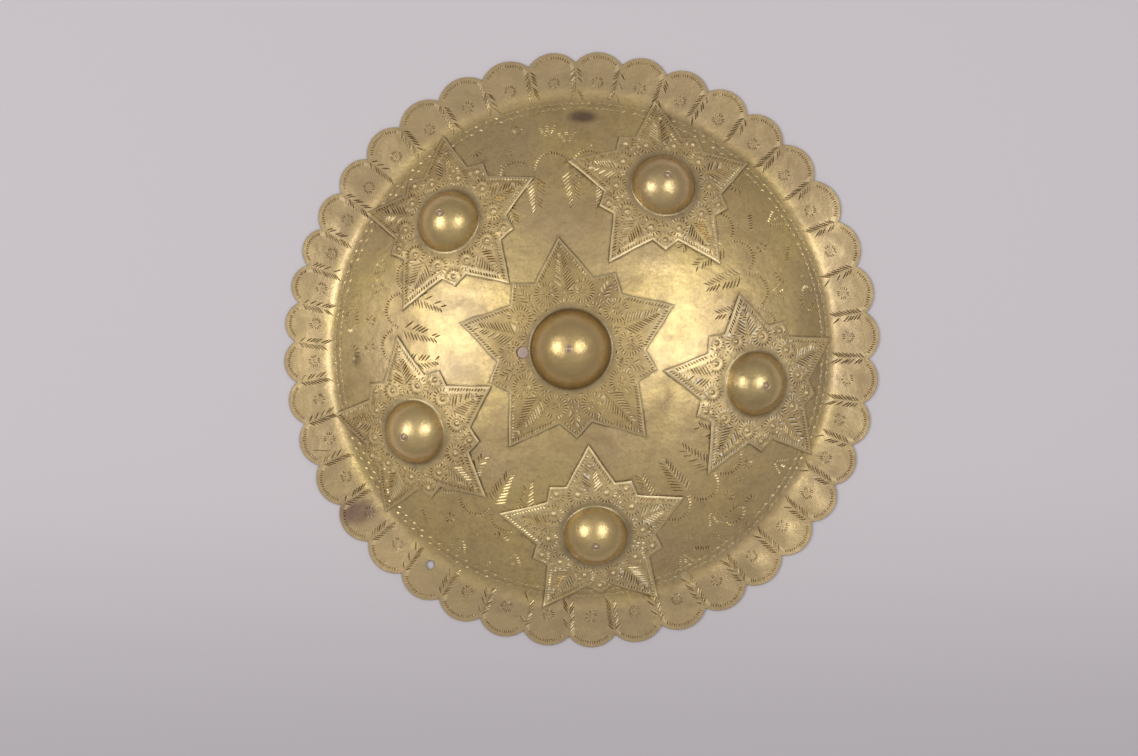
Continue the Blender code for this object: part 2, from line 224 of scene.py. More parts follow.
def dish_height(x, y):
    """Height of the dish's face: sphere cap, then a concave quarter turn tangent to it, then the
    brim's gentle cone and flat land, plus the sum of the hammer's sine waves and the bends."""
    radius = np.hypot(x, y)
    dome = DOME_HEIGHT - SPHERE_RADIUS + np.sqrt(np.maximum(SPHERE_RADIUS ** 2 - radius ** 2, 0))
    turn_in = np.clip(TURN_CENTRE_RADIUS - radius, 0, TURN_RADIUS)
    bend = TURN_CENTRE_HEIGHT - np.sqrt(TURN_RADIUS ** 2 - turn_in ** 2)
    brim = DISH_SHEET + np.maximum(LAND_START - radius, 0) * math.tan(BRIM_SLOPE)
    height = np.select([radius < DOME_FOOT, radius < TURN_END], [dome, bend], brim)
    on_brim = ramp(radius, DOME_FOOT - 6, TURN_END)
    for (length, on_dome, out_there), turns, starts in zip(HAMMER_WAVES, wave_turns, wave_starts):
        size = on_dome + (out_there - on_dome) * on_brim
        for angle, start in zip(turns, starts):
            along = (x * math.cos(angle) + y * math.sin(angle)) * 2 * math.pi / length
            height = height + size * (1 + np.sin(along + start)) / 3
    for bearing, distance, spread, rise in BRIM_BENDS:
        bx, by = polar(distance, bearing)
        height = height + rise * np.exp(-((x - bx) ** 2 + (y - by) ** 2) / (2 * spread ** 2))
    return height


def place_on_dish(flat, height):
    """Put flat plan points on the dish's face, moved off it by a height along the plain profile's
    upward normal."""
    x, y = flat.T
    radius = np.maximum(np.hypot(x, y), 1e-6)
    lean = np.where(radius < DOME_FOOT, np.arcsin(np.minimum(radius / SPHERE_RADIUS, 1)),
                    np.arcsin(np.clip((TURN_CENTRE_RADIUS - radius) / TURN_RADIUS,
                                      math.sin(BRIM_SLOPE), 1)))
    lean = np.where(radius > LAND_START, 0.0, lean)
    out = np.sin(lean) * height / radius
    return np.stack([x + x * out, y + y * out, dish_height(x, y) + np.cos(lean) * height], axis=1)


def notch_bearing(index):
    """Bearing of each notch: even spacing plus the drift of a layout made by eye."""
    place = 360 * index / LOBE_COUNT + DRIFT_START
    drift = sum(size * np.sin(np.radians(wave * place + phase)) for wave, size, phase in LOBE_DRIFT)
    return 360 * index / LOBE_COUNT + FIRST_NOTCH + drift


notches = notch_bearing(np.arange(LOBE_COUNT + 1))
lobe_middles = (notches[1:] + notches[:-1]) / 2
lobe_halves = np.radians(notches[1:] - notches[:-1]) / 2
notch_radius = SHIELD_RADIUS - LOBE_DEPTH
lobe_centres = ((SHIELD_RADIUS ** 2 - notch_radius ** 2)
                / (2 * (SHIELD_RADIUS - notch_radius * np.cos(lobe_halves))))
lobe_radii = SHIELD_RADIUS - lobe_centres
lobe_sweeps = np.degrees(np.arctan2(notch_radius * np.sin(lobe_halves),
                                    notch_radius * np.cos(lobe_halves) - lobe_centres))


def lobe_arc(inset, share):
    """Points on every lobe's arc, moved in by an inset; share runs from -1 to 1 over each arc.
    The arc's own centre lies on the lobe's middle line, so point = centre + radius * direction."""
    cx, cy = polar(lobe_centres[:, None], lobe_middles[:, None])
    bearing = lobe_middles[:, None] + lobe_sweeps[:, None] * share[None, :]
    dx, dy = polar(lobe_radii[:, None] - inset, bearing)
    return cx + dx, cy + dy, bearing


def loop_of(x, y):
    """A closed loop as rows of x, y."""
    return np.stack([np.ravel(x), np.ravel(y)], axis=1)


def ring(cx, cy, radius, count, start=0.0):
    """Points spaced evenly on a circle."""
    angles = start + 360 * np.arange(count) / count
    x, y = polar(radius, angles)
    return loop_of(cx + x, cy + y)


dish_edge = loop_of(*lobe_arc(0.0, np.arange(LOBE_SEGMENTS) / LOBE_SEGMENTS * 2 - 1)[:2])


# Chisel marks
# Every mark is one blow of a small chisel held aslant: a narrow boat-shaped cut with one steep
# wall and one flatter one, deeper or shallower from blow to blow. The lip over the flatter wall
# is painted bright: partly wear, partly a painted highlight.
# Marks are rows of start x, start y, end x, end y, width and depth.
def strokes(x, y, bearing, length, width, depth):
    """Marks centred on points and turned to bearings in degrees, with the hand's small scatter.
    Long marks are aimed more truly than short ones."""
    x, y, bearing, length, width, depth = [
        np.ravel(a).astype(float) for a in np.broadcast_arrays(x, y, bearing, length, width, depth)]
    count = len(x)
    bearing = bearing + hand.normal(0, 6.0, count) / np.maximum(length, 2)
    length = length * hand.uniform(0.88, 1.08, count)
    depth = depth * hand.uniform(0.65, 1.15, count)
    x = x + hand.normal(0, 0.08, count)
    y = y + hand.normal(0, 0.08, count)
    dx, dy = polar(length / 2, bearing)
    return np.stack([x - dx, y - dy, x + dx, y + dy, width, depth], axis=1)


def rosette(cx, cy, inner, outer, count, width=0.7, depth=0.34):
    """Marks like the rays of a small sun, from an inner to an outer radius."""
    angles = hand.uniform(0, 360) + 360 * np.arange(count) / count
    dx, dy = polar((inner + outer) / 2, angles)
    return strokes(cx + dx, cy + dy, angles, outer - inner, width, depth)


def fern(cx, cy, bearing, length, barbs, foot_reach, tip_reach, lean, width, depth):
    """A leaf of marks along a bare midrib from its foot. The barbs on both sides lean towards the
    tip, more so near it, and their length changes evenly from the foot to the tip."""
    share = (np.arange(barbs) + 0.4) / barbs
    size = foot_reach + (tip_reach - foot_reach) * share
    rows = []
    for side in (-1, 1):
        bx, by = polar(share * length + side * 0.3, bearing)
        turned = bearing + side * lean * (1 - 0.35 * share)
        dx, dy = polar(size / 2 + 0.35, turned)
        rows.append(strokes(cx + bx + dx, cy + by + dy, turned, size, width, depth))
    return np.concatenate(rows)


def arc_of_dashes(cx, cy, radius, start, end, pitch, length, width, depth):
    """Short marks standing across a round arc from one bearing to another."""
    count = max(2, int(abs(math.radians(end - start)) * radius / pitch))
    angles = np.linspace(start, end, count)
    dx, dy = polar(radius, angles)
    return strokes(cx + dx, cy + dy, angles, length, width, depth)


# Brim ornament: a milled-looking row of dashes inside each lobe's edge, a rosette in each lobe and
# a fern running in from each notch. One lobe's rosette is gone, with the hole of a lost nail.
LOBE_DASHES = 17
LOBE_DASH_REACH = 0.88
LOBE_DASH_INSET = 2.9
LOBE_DASH = (1.9, 0.72, 0.38)  # length, width, depth
ROSETTE_DISTANCE = 161.5
ROSETTE_RAYS = (2.0, 3.9, 16)  # inner radius, outer radius, count
ROSETTE_HEART = (0.5, 1.3, 6, 0.5, 0.22)  # the same, width, depth
ROSETTE_CLEARANCE = 8.0
NOTCH_FERN = (16.0, 9, 4.6, 7.0, 44, 0.95, 0.42)  # length, barbs, reaches, lean, width, depth
NAIL_HOLE = (159.0, 235.1, 2.7)  # distance, bearing, radius
SCRATCHES = np.array([
    # start x and y, end x and y, width, depth
    (44.3, -39.8, 58.8, -24.1, 0.45, 0.10), (46.4, -40.3, 60.4, -25.2, 0.45, 0.10),
    (-163.7, -61.2, -150.5, -61.6, 0.6, 0.20), (-150.0, -61.6, -141.4, -61.3, 0.6, 0.20),
    (-58.8, 111.0, -58.6, 106.6, 0.6, 0.25)])
marks = [SCRATCHES]
dash_share = (np.arange(LOBE_DASHES) + 0.5) / LOBE_DASHES * 2 * LOBE_DASH_REACH - LOBE_DASH_REACH
dash_x, dash_y, dash_bearing = lobe_arc(LOBE_DASH_INSET, dash_share)
marks.append(strokes(dash_x, dash_y, dash_bearing, *LOBE_DASH))
nail_x, nail_y = polar(*NAIL_HOLE[:2])
for bearing in lobe_middles:
    cx, cy = polar(ROSETTE_DISTANCE, bearing)
    if math.hypot(cx - nail_x, cy - nail_y) > ROSETTE_CLEARANCE:
        marks.append(rosette(cx, cy, *ROSETTE_RAYS))
        marks.append(rosette(cx, cy, *ROSETTE_HEART))
for bearing in notches[:-1]:
    cx, cy = polar(notch_radius - 1.8, bearing)
    marks.append(fern(cx, cy, bearing + 180 + hand.normal(0, 4), *NOTCH_FERN))

# Wave border at the dome's foot: two lines of short cuts that slope in and out by turns
BORDER_DISTANCE = 146.5
BORDER_WAVES = 140
BORDER_LINES = ((-1.7, 0.0), (1.5, 0.3))  # offset in mm, shift as a share of a wave
BORDER_SLOPES = ((0.0, 34.0), (0.5, -30.0))  # share of a wave, degrees
BORDER_CUT = (2.9, 0.9, 0.36)  # length, width, depth
for offset, shift in BORDER_LINES:
    for part, slope in BORDER_SLOPES:
        turns = 360 * (np.arange(BORDER_WAVES) + part + shift) / BORDER_WAVES
        wx, wy = polar(BORDER_DISTANCE + offset, turns)
        marks.append(strokes(wx, wy, turns + 90 + slope, *BORDER_CUT))

# Festoon ring: half-round swags of dashes that meet at cusps, and a big leaf from every cusp
# towards the middle
FESTOON_COUNT = 32
FESTOON_DISTANCE = 107.5
FIRST_CUSP = 3.3
CUSP_DRIFT = (1.7, 205.0)  # degrees, the bearing where it is largest
SWAG_SWEEP = 84.0
SWAG_DASHES = (1.55, 2.3, 0.92, 0.4)  # pitch, length, width, depth
CUSP_LEAF = (21.0, 10, 7.8, 4.2, 54, 1.05, 0.44)  # length, barbs, reaches, lean, width, depth
cusps = (np.arange(FESTOON_COUNT + 1) * 360 / FESTOON_COUNT + FIRST_CUSP)
cusps = cusps + CUSP_DRIFT[0] * np.cos(np.radians(cusps - CUSP_DRIFT[1]))
for start, end in zip(cusps[:-1], cusps[1:]):
    middle = (start + end) / 2
    half_chord = FESTOON_DISTANCE * math.sin(math.radians(end - start) / 2)
    sx, sy = polar(FESTOON_DISTANCE * math.cos(math.radians(end - start) / 2) + 0.5, middle)
    marks.append(arc_of_dashes(sx, sy, half_chord - 0.2, middle - SWAG_SWEEP, middle + SWAG_SWEEP,
                               *SWAG_DASHES))
    lx, ly = polar(FESTOON_DISTANCE - 1.5, start)
    marks.append(fern(lx, ly, start + 180 + hand.normal(0, 8), *CUSP_LEAF))

# Loose motifs scattered between the festoons and the border, as bearing, distance and kind
FIELD_MOTIFS = (
    (163.0, 126.0, "sprig"), (172.3, 126.5, "sun"), (172.6, 139.0, "oval"),
    (166.5, 137.0, "dimple"), (157.5, 128.0, "sprig"), (179.5, 126.0, "sun"), (181.0, 138.0, "fan"),
    (118.0, 136.0, "fan"), (109.5, 124.0, "dimple"), (106.0, 137.0, "sun"), (98.5, 131.0, "sprig"),
    (93.5, 126.0, "sprig"), (86.0, 122.0, "dimple"), (112.5, 118.0, "dimple"),
    (46.5, 136.5, "fan"), (38.0, 119.0, "dimple"), (36.5, 127.0, "bar"), (29.0, 124.5, "sun"),
    (33.5, 138.0, "sprig"), (24.5, 137.0, "bar"), (20.0, 130.0, "fan"), (17.5, 140.0, "dimple"),
    (12.5, 139.5, "oval"), (16.0, 122.0, "sprig"),
    (-34.5, 122.0, "sun"), (-39.0, 122.5, "dimple"), (-44.5, 125.0, "sun"), (-47.0, 136.0, "oval"),
    (-41.5, 139.0, "fan"), (-51.5, 127.5, "sprig"), (-60.0, 130.0, "dimple"),
    (-63.5, 140.0, "sprig"), (-58.5, 140.0, "bar"), (-54.0, 138.5, "dimple"),
    (-30.0, 137.0, "sprig"),
    (232.5, 127.5, "sun"), (238.5, 137.0, "sprig"), (227.0, 137.5, "bar"), (247.5, 124.0, "fan"),
    (246.5, 139.5, "dimple"), (252.5, 131.0, "sprig"), (240.5, 127.0, "dimple"),
)


def motif(cx, cy, bearing, kind):
    """The marks of one loose motif: a sun of rays, an oval of rays across the bearing, a sprig of
    three short rows, a fan, a bar of parallel cuts or a small ring of dashes."""
    if kind == "sun":
        return rosette(cx, cy, 1.2, 3.6, 13, 0.9, 0.4)
    if kind == "dimple":
        return rosette(cx, cy, 0.9, 2.1, 8, 0.7, 0.34)
    if kind == "fan":
        return arc_of_dashes(cx, cy, 4.2, bearing + 120, bearing + 240, 1.5, 3.8, 0.95, 0.42)
    if kind == "oval":
        angles = np.arange(20) * 18.0
        long_way = polar(7.0 * np.cos(np.radians(angles)), bearing + 90)
        short_way = polar(3.6 * np.sin(np.radians(angles)), bearing)
        ox, oy = long_way[0] + short_way[0], long_way[1] + short_way[1]
        out = np.degrees(np.arctan2(oy, ox))
        return strokes(cx + ox, cy + oy, out, 2.8, 0.9, 0.4)
    if kind == "bar":
        step = np.arange(6) * 1.5 - 3.75
        dx, dy = polar(step, bearing + 60)
        return strokes(cx + dx, cy + dy, bearing - 20, 3.2, 0.95, 0.42)
    rows = []
    for row, turned in ((-1, -32.0), (0, 0.0), (1, 32.0)):
        step = np.arange(5) * 1.45
        dx, dy = polar(step - 2.0, bearing + turned)
        ox, oy = polar(row * 2.6, bearing + 90)
        rows.append(strokes(cx + dx + ox, cy + dy + oy, bearing + turned + 80, 2.3, 0.9, 0.4))
    return np.concatenate(rows)


for bearing, distance, kind in FIELD_MOTIFS:
    cx, cy = polar(distance, bearing)
    marks.append(motif(cx, cy, bearing, kind))
dish_marks = np.concatenate(marks)


# Star plates
# Six plates of thinner brass, cut with shears into stars, raised in the middle into hollow round
# bosses, chased, and riveted down through the bosses.
STAR_SHEET = 0.9
PLATE_GAP = 0.4
NOTCH_SPREAD = 12.4
BOSS_HEIGHT_RATIO = 0.76
BOSS_TURN_RADIUS = 1.5
RIVET_HOLE_RADIUS = 1.5
BEAD_RADIUS = 1.4
BEAD_HEIGHT = 0.65
BEAD_RING_DEPTH = 0.16
PETAL_DISTANCE = 3.7
RIDGE_INSET = 4.4
RIDGE_SPREAD = 1.2
EDGE_ROUNDING = 0.45
EDGE_ROUNDING_WIDTH = 1.4
SNIP_STEP = 1.8
SNIP_WANDER = 0.12
CENTRE_REACH = 67.9
OUTER_REACH = 58.5
# Leaf and notch as shares of the reach, and the boss's radius
CENTRE_SHAPE = (CENTRE_REACH, 0.772, 0.652, 23.4)
OUTER_SHAPE = (OUTER_REACH, 0.70, 0.61, 19.0)
RING_DISTANCE = CENTRE_REACH * 0.83 + OUTER_REACH * 0.96

# Name, bearing and distance of the centre over the dome, shape, bearings and shares of the arms,
# height of the ridges hammered up inside the edges
PLATES = (
    ("centre", 189.7, CENTRE_REACH * 0.062, CENTRE_SHAPE,
     ((23.3, 0.985), (96.6, 0.984), (166.6, 1.012), (237.3, 1.012), (310.4, 1.004)), 0.06),
    ("upper_left", 135.7, RING_DISTANCE - OUTER_REACH * 0.019, OUTER_SHAPE,
     ((27.8, 0.973), (99.9, 1.010), (169.1, 1.003), (241.6, 1.020), (314.5, 0.959)), 0.44),
    ("upper_right", 62.7, RING_DISTANCE - OUTER_REACH * 0.009, OUTER_SHAPE,
     ((20.4, 0.986), (91.8, 1.029), (164.0, 1.012), (235.9, 1.017), (305.7, 1.000)), 0.30),
    ("right", -11.3, RING_DISTANCE - OUTER_REACH * 0.051, OUTER_SHAPE,
     ((27.1, 0.993), (100.0, 0.927), (172.0, 0.991), (243.1, 1.036), (312.9, 1.031)), 0.38),
    ("bottom", -85.0, RING_DISTANCE + OUTER_REACH * 0.034, OUTER_SHAPE,
     ((22.7, 0.979), (93.9, 0.978), (168.4, 1.012), (238.7, 1.056), (309.4, 1.024)), 0.22),
    ("lower_left", 207.0, RING_DISTANCE + OUTER_REACH * 0.002, OUTER_SHAPE,
     ((30.3, 0.971), (101.9, 1.002), (172.6, 0.995), (243.0, 1.007), (317.3, 0.981)), 0.32),
)


class Plate:
    """Where one star plate lies on the dome, and how its flat measure goes onto it."""

    def __init__(self, name, bearing, distance, shape, arms, ridge):
        reach, leaf, notch, boss = shape
        self.name = name
        self.reach = reach
        self.leaf = reach * leaf
        self.notch = reach * notch
        self.boss = boss
        self.boss_height = boss * BOSS_HEIGHT_RATIO
        self.arms = [(angle, reach * share) for angle, share in arms]
        self.ridge = ridge
        turned = Matrix.Rotation(math.radians(bearing), 3, "Z")
        lean = Matrix.Rotation(distance / SPHERE_RADIUS, 3, "Y")
        self.frame = np.array(turned @ lean @ turned.inverted())
        self.axis = self.frame[:, 2]
        self.cap = (boss ** 2 + self.boss_height ** 2) / (2 * self.boss_height)
        drop = self.cap - self.boss_height
        self.foot = math.sqrt((self.cap + BOSS_TURN_RADIUS) ** 2 - (drop + BOSS_TURN_RADIUS) ** 2)
        self.cap_edge = self.foot * self.cap / (self.cap + BOSS_TURN_RADIUS)
        self.beads = np.zeros((0, 2))
        self.edge = self.outline()

    def plan(self, flat):
        """Walk over the sphere from the plate's centre: the flat distance becomes an arc."""
        distance = np.maximum(np.hypot(*flat.T), 1e-6)
        lean = distance / SPHERE_RADIUS
        aside = (flat / distance[:, None]) @ self.frame[:, :2].T
        along = self.axis * np.cos(lean)[:, None] + aside * np.sin(lean)[:, None]
        return along[:, :2] * SPHERE_RADIUS

    def boss_rise(self, distance):
        """Boss profile: a ball's cap, then a small concave turn down into the plate."""
        cap = np.sqrt(np.maximum(self.cap ** 2 - distance ** 2, 0)) - (self.cap - self.boss_height)
        turn_in = np.clip(self.foot - distance, 0, BOSS_TURN_RADIUS)
        turned = BOSS_TURN_RADIUS - np.sqrt(BOSS_TURN_RADIUS ** 2 - turn_in ** 2)
        return np.select([distance < self.cap_edge, distance < self.foot], [cap, turned], 0.0)

    def bead_rise(self, flat):
        """Each bead is a round dome inside a sunk ring of half a sine wave, with a bell-shaped
        petal ridge around it."""
        rise = np.zeros(len(flat))
        for bead in self.beads:
            away = np.hypot(*(flat - bead).T) / BEAD_RADIUS
            dome = BEAD_HEIGHT * (1 - away ** 2)
            sunk = -BEAD_RING_DEPTH * np.sin(math.pi * np.clip((away - 1) / 0.8, 0, 1))
            from_petal = (away * BEAD_RADIUS - PETAL_DISTANCE) / RIDGE_SPREAD
            petal = 0.5 * self.ridge * np.exp(-from_petal ** 2)
            rise = rise + np.where(away < 1, dome, sunk) + petal
        return rise

    def hammered_rise(self, flat, front):
        """Ridge and channel along the edge, as functions of the distance to it: a rounding-over of
        the front, a flat channel for the dashes, a bell-shaped ridge that swells and fades, and a
        field that stays a little proud until the boss."""
        away = edge_distance(flat, self.edge)
        rounding = -EDGE_ROUNDING * np.clip(1 - away / EDGE_ROUNDING_WIDTH, 0, 1) ** 2 * front
        swell = 0.65 + 0.35 * np.sin(flat[:, 0] * 0.55 + 1.3) * np.sin(flat[:, 1] * 0.47)
        ridge = np.exp(-((away - RIDGE_INSET) / RIDGE_SPREAD) ** 2) * swell
        ridge = ridge + 0.6 * ramp(away, 3.2, 6.0)
        return rounding + self.ridge * ridge * ramp(np.hypot(*flat.T), self.foot, self.foot + 5)

    def worn(self, flat):
        """How far the metal is painted bright, partly as wear and partly as a painted highlight:
        fully on the edge's lip and on top of the beads.
        """
        share = 1 - ramp(edge_distance(flat, self.edge), 0.8, 1.3)
        for bead in self.beads:
            share = np.maximum(share, np.hypot(*(flat - bead).T) < BEAD_RADIUS * 0.7)
        return share

    def place(self, flat, height):
        """Put flat plate points over the dish, at the plate's gap and thickness plus a height."""
        low = place_on_dish(self.plan(flat), PLATE_GAP + STAR_SHEET + height)
        distance = np.hypot(*flat.T)
        front = np.clip(1 + height / STAR_SHEET, 0, 1)
        lift = (self.boss_rise(distance) + self.bead_rise(flat) * (front > 0.5)
                + self.hammered_rise(flat, front))
        return low + lift[:, None] * self.axis

    def outline(self):
        """The star's edge: long arms, a small leaf midway between every two, notches beside it,
        cut with straight snips that wander a little."""
        corners = []
        for index, (tip, arm_reach) in enumerate(self.arms):
            after = self.arms[(index + 1) % len(self.arms)][0]
            leaf = tip + ((after - tip) % 360) / 2
            corners += [polar(arm_reach, tip), polar(self.notch, leaf - NOTCH_SPREAD),
                        polar(self.leaf, leaf), polar(self.notch, leaf + NOTCH_SPREAD)]
        corners = np.array(corners)
        ends = np.roll(corners, -1, axis=0)
        edge = []
        for start, end in zip(corners, ends):
            count = max(2, round(math.dist(start, end) / SNIP_STEP))
            share = np.arange(count)[:, None] / count
            side = np.array([end[1] - start[1], start[0] - end[0]]) / math.dist(start, end)
            wander = SNIP_WANDER * np.sin(share * 7 + hand.uniform(0, 6)) * np.sin(math.pi * share)
            edge.append(start + (end - start) * share + side * wander)
        return np.concatenate(edge)

    def leaves(self):
        """Bearings of the small leaves, midway between the arms."""
        angles = [a for a, _ in self.arms]
        return [a + ((b - a) % 360) / 2 for a, b in zip(angles, angles[1:] + angles[:1])]


def edge_distance(points, loop):
    """Distance from each point to the nearest side of a closed loop."""
    side = np.roll(loop, -1, axis=0) - loop
    square = (side ** 2).sum(axis=1)
    nearest = []
    for part in np.array_split(points, max(1, len(points) // 4000)):
        away = part[:, None, :] - loop
        share = np.clip((away * side).sum(axis=2) / square, 0, 1)
        nearest.append(np.linalg.norm(away - share[..., None] * side, axis=2).min(axis=1))
    return np.concatenate(nearest)


def edge_dashes(start, end, inset, pitch, length, width, depth, lean):
    """A row of dashes along a straight edge of a plate, set in from it by an inset and turned from
    its direction by the lean."""
    start, end = np.array(start), np.array(end)
    span = math.dist(start, end)
    along = (end - start) / span
    inward = np.array([-along[1], along[0]])
    count = int(span / pitch)
    share = (np.arange(count) + 0.5) / count
    points = start + np.outer(share * span, along) + inward * inset
    bearing = math.degrees(math.atan2(along[1], along[0])) + lean
    return strokes(points[:, 0], points[:, 1], bearing, length, width, depth)


# The plates' chasing: rows along straight edges as inset, pitch, length and width, and rays around
# an arc as pitch, length and width
ARM_ROW = (2.4, 1.75, 2.5, 1.0)
LEAF_ROW = (2.0, 1.6, 1.7, 0.85)
INNER_ROWS = ((5.4, 1.8, 2.0, 0.85), (8.0, 1.8, 2.0, 0.85))
SWAG_RAYS = (1.6, 2.6, 0.82)
ARM_SWAG_RAYS = (1.6, 2.4, 0.82)
LEAF_RAYS = (1.5, 1.8, 0.75)
BOSS_RAYS = (1.8, 1.8, 0.82)
BOSS_RINGS = (3.4, 6.2, 9.0, 11.8)
BEAD_SIDE = 17.5


def star_marks(plate):
    """The chasing of one plate: dashes along the edges, a fern in every long arm, a bead or a ring
    of dashes on both sides of each arm's foot, a bead in each leaf, swags around the boss, and
    rows of short blows wherever room is left."""
    rows = []
    beads = []
    plain = plate.name == "centre"
    cut = 0.36 if plain else 0.5
    leaves = plate.leaves()
    for index, (tip, arm_reach) in enumerate(plate.arms):
        tip_point = np.array(polar(arm_reach, tip))
        for leaf, side in ((leaves[index], 1), (leaves[index - 1], -1)):
            notch = np.array(polar(plate.notch, leaf - side * NOTCH_SPREAD))
            ends = (tip_point, notch) if side > 0 else (notch, tip_point)
            shift = (ends[1] - ends[0]) * 0.05
            rows.append(edge_dashes(ends[0] + shift, ends[1] - shift, *ARM_ROW, cut,
                                    58 if side > 0 else 122))
    for tip, arm_reach in plate.arms:
        foot = plate.notch * (0.74 if plain else 0.78)
        fx, fy = polar(foot, tip)
        length = arm_reach - foot - 6.5
        rows.append(fern(fx, fy, tip, length, round(length / 1.9), 9.6 if plain else 8.6, 1.6, 52,
                         0.9 if plain else 1.05, cut))
    for leaf in leaves:
        corner = np.array(polar(plate.leaf, leaf))
        for side in (-1, 1):
            notch = np.array(polar(plate.notch, leaf + side * NOTCH_SPREAD))
            ends = (corner, notch) if side > 0 else (notch, corner)
            shift = (ends[1] - ends[0]) * 0.14
            rows.append(edge_dashes(ends[0] + shift, ends[1] - shift, *LEAF_ROW, cut,
                                    62 if side > 0 else 118))
    for tip, _ in plate.arms:
        for side in (-1, 1):
            bx, by = polar(plate.notch * 0.79, tip + side * BEAD_SIDE)
            if plain:
                rows.append(rosette(bx, by, 4.8, 7.8, 24, 0.75, cut))
                rows.append(rosette(bx, by, 0.9, 2.4, 8, 0.6, cut))
            else:
                beads.append((bx, by))
                rows.append(arc_of_dashes(bx, by, 5.2, tip + 180 - 130, tip + 180 + 130,
                                          *SWAG_RAYS, cut))
    for leaf in leaves:
        lx, ly = polar(plate.notch * (0.80 if plain else 0.98), leaf)
        if plain:
            length = plate.leaf - plate.notch * 0.80 - 4
            rows.append(fern(lx, ly, leaf, length, 5, 5.6, 2.2, 44, 0.80, cut))
        else:
            beads.append((lx, ly))
            rows.append(arc_of_dashes(lx, ly, 4.1, leaf + 60, leaf + 300, *LEAF_RAYS, cut))
        sx, sy = polar(plate.foot + 1.5, leaf)
        rows.append(arc_of_dashes(sx, sy, 4.4, leaf - 85, leaf + 85, *SWAG_RAYS, cut))
    for tip, arm_reach in plate.arms:
        sx, sy = polar(plate.foot + 0.5, tip)
        rows.append(arc_of_dashes(sx, sy, 4.0, tip - 80, tip + 80, *ARM_SWAG_RAYS, cut))
        if not plain:
            for row in INNER_ROWS:
                for side in (1, -1):
                    start, end = polar(arm_reach, tip), polar(plate.notch, tip + side * 23.6)
                    ends = (start, end) if side > 0 else (end, start)
                    rows.append(edge_dashes(*ends, *row, cut, 70 if side < 0 else 110))
    for around in BOSS_RINGS:
        rows.append(arc_of_dashes(0, 0, plate.foot + around, 0, 360, *BOSS_RAYS, cut * 0.8))
    plate.beads = np.array(beads).reshape(-1, 2)
    rows = np.concatenate(rows)
    mids = (rows[:, :2] + rows[:, 2:4]) / 2
    keep = (np.hypot(*mids.T) > plate.foot + 1.9) & inside(mids, inset_loop(plate.edge, 1.6))
    for bead in plate.beads:
        keep &= np.hypot(*(mids - bead).T) > BEAD_RADIUS * 1.9 + 0.6
    return keep_apart(rows[keep])


def keep_apart(rows, gap=0.35):
    """Leave out each mark that would run over an earlier one: its middle line may not pass a cell
    of the gap's size that holds an earlier line or borders on one that does."""
    share = np.linspace(0, 1, 31)[None, :, None]
    line = rows[:, None, :2] + (rows[:, None, 2:4] - rows[:, None, :2]) * share
    cells = np.floor(line / gap).astype(int)
    keys = cells[..., 0] * 100000 + cells[..., 1]
    around = (np.arange(-1, 2)[:, None] * 100000 + np.arange(-1, 2)).ravel()
    beside = (keys[:, :, None] + around).reshape(len(rows), -1)
    taken = set()
    kept = []
    for number, (passed, near) in enumerate(zip(keys.tolist(), beside.tolist())):
        if taken.isdisjoint(passed):
            taken.update(near)
            kept.append(number)
    return rows[kept]


# Chased sheet
# Dish and plates are made alike: a flat pattern with its marks is triangulated, then laid over the
# form. The walls of the cuts stay sharp, all other faces take the form's own smooth normals.
CUT_TEMPLATE = np.array([
    # share along the mark, share of the width to the side, share of the depth
    (0.18, 0.16, 0.8), (0.5, 0.22, 1.0), (0.82, 0.16, 0.8), (0.0, 0.0, 0.0), (1.0, 0.0, 0.0),
    (0.27, 0.5, 0.0), (0.27, -0.5, 0.0), (0.73, 0.5, 0.0), (0.73, -0.5, 0.0)])
CUT_LIPS = CUT_TEMPLATE[:, 1] == -0.5
LIP_MIN_DEPTH = 0.22
CUT_CLEARANCE = 0.35
CUT_LINES = ((3, 0), (0, 1), (1, 2), (2, 4), (3, 5), (5, 7), (7, 4), (3, 6), (6, 8), (8, 4))


def inset_loop(loop, distance):
    """Move a loop's sides inward by a distance, meeting on the bisectors of its corners."""
    along = np.roll(loop, -1, axis=0) - loop
    along /= np.linalg.norm(along, axis=1)[:, None]
    after = np.stack([-along[:, 1], along[:, 0]], axis=1)
    before = np.roll(after, 1, axis=0)
    return loop + distance * (before + after) / (1 + (before * after).sum(axis=1))[:, None]


def inside(points, loop):
    """Which points lie inside a closed loop, by counting the sides to their right."""
    ax, ay = loop.T
    bx, by = np.roll(ax, -1), np.roll(ay, -1)
    rise = np.where(by == ay, 1.0, by - ay)
    found = []
    for part in np.array_split(points, max(1, len(points) // 8000)):
        px, py = part[:, :1], part[:, 1:]
        spans = (ay > py) != (by > py)
        found.append((spans & (px < ax + (py - ay) * (bx - ax) / rise)).sum(axis=1) % 2 == 1)
    return np.concatenate(found)


def within(points, edge, holes):
    """Which points lie inside the edge and outside every hole."""
    keep = inside(points, edge)
    for hole in holes:
        keep &= ~inside(points, hole)
    return keep


def free_cells(points, taken, reach):
    """Which points aren't in or beside a one-millimetre cell that holds a taken point."""
    low = taken.min(axis=0) - 4
    size = np.ceil(taken.max(axis=0) - low).astype(int) + 8
    full = np.zeros(size, bool)
    ix, iy = np.floor(taken - low).astype(int).T
    for dx in range(-reach, reach + 1):
        for dy in range(-reach, reach + 1):
            full[ix + dx, iy + dy] = True
    px, py = np.clip(np.floor(points - low).astype(int), 0, size - 1).T
    return ~full[px, py]


def lattice(edge, pitch):
    """Points of a triangular lattice over the edge's box."""
    low, high = edge.min(axis=0), edge.max(axis=0)
    rows = np.arange(low[1], high[1], pitch * 0.866)
    columns = np.arange(low[0], high[0], pitch)
    x = columns[None, :] + (np.arange(len(rows)) % 2 * pitch / 2)[:, None]
    y = np.repeat(rows[:, None], len(columns), axis=1)
    return loop_of(x, y)


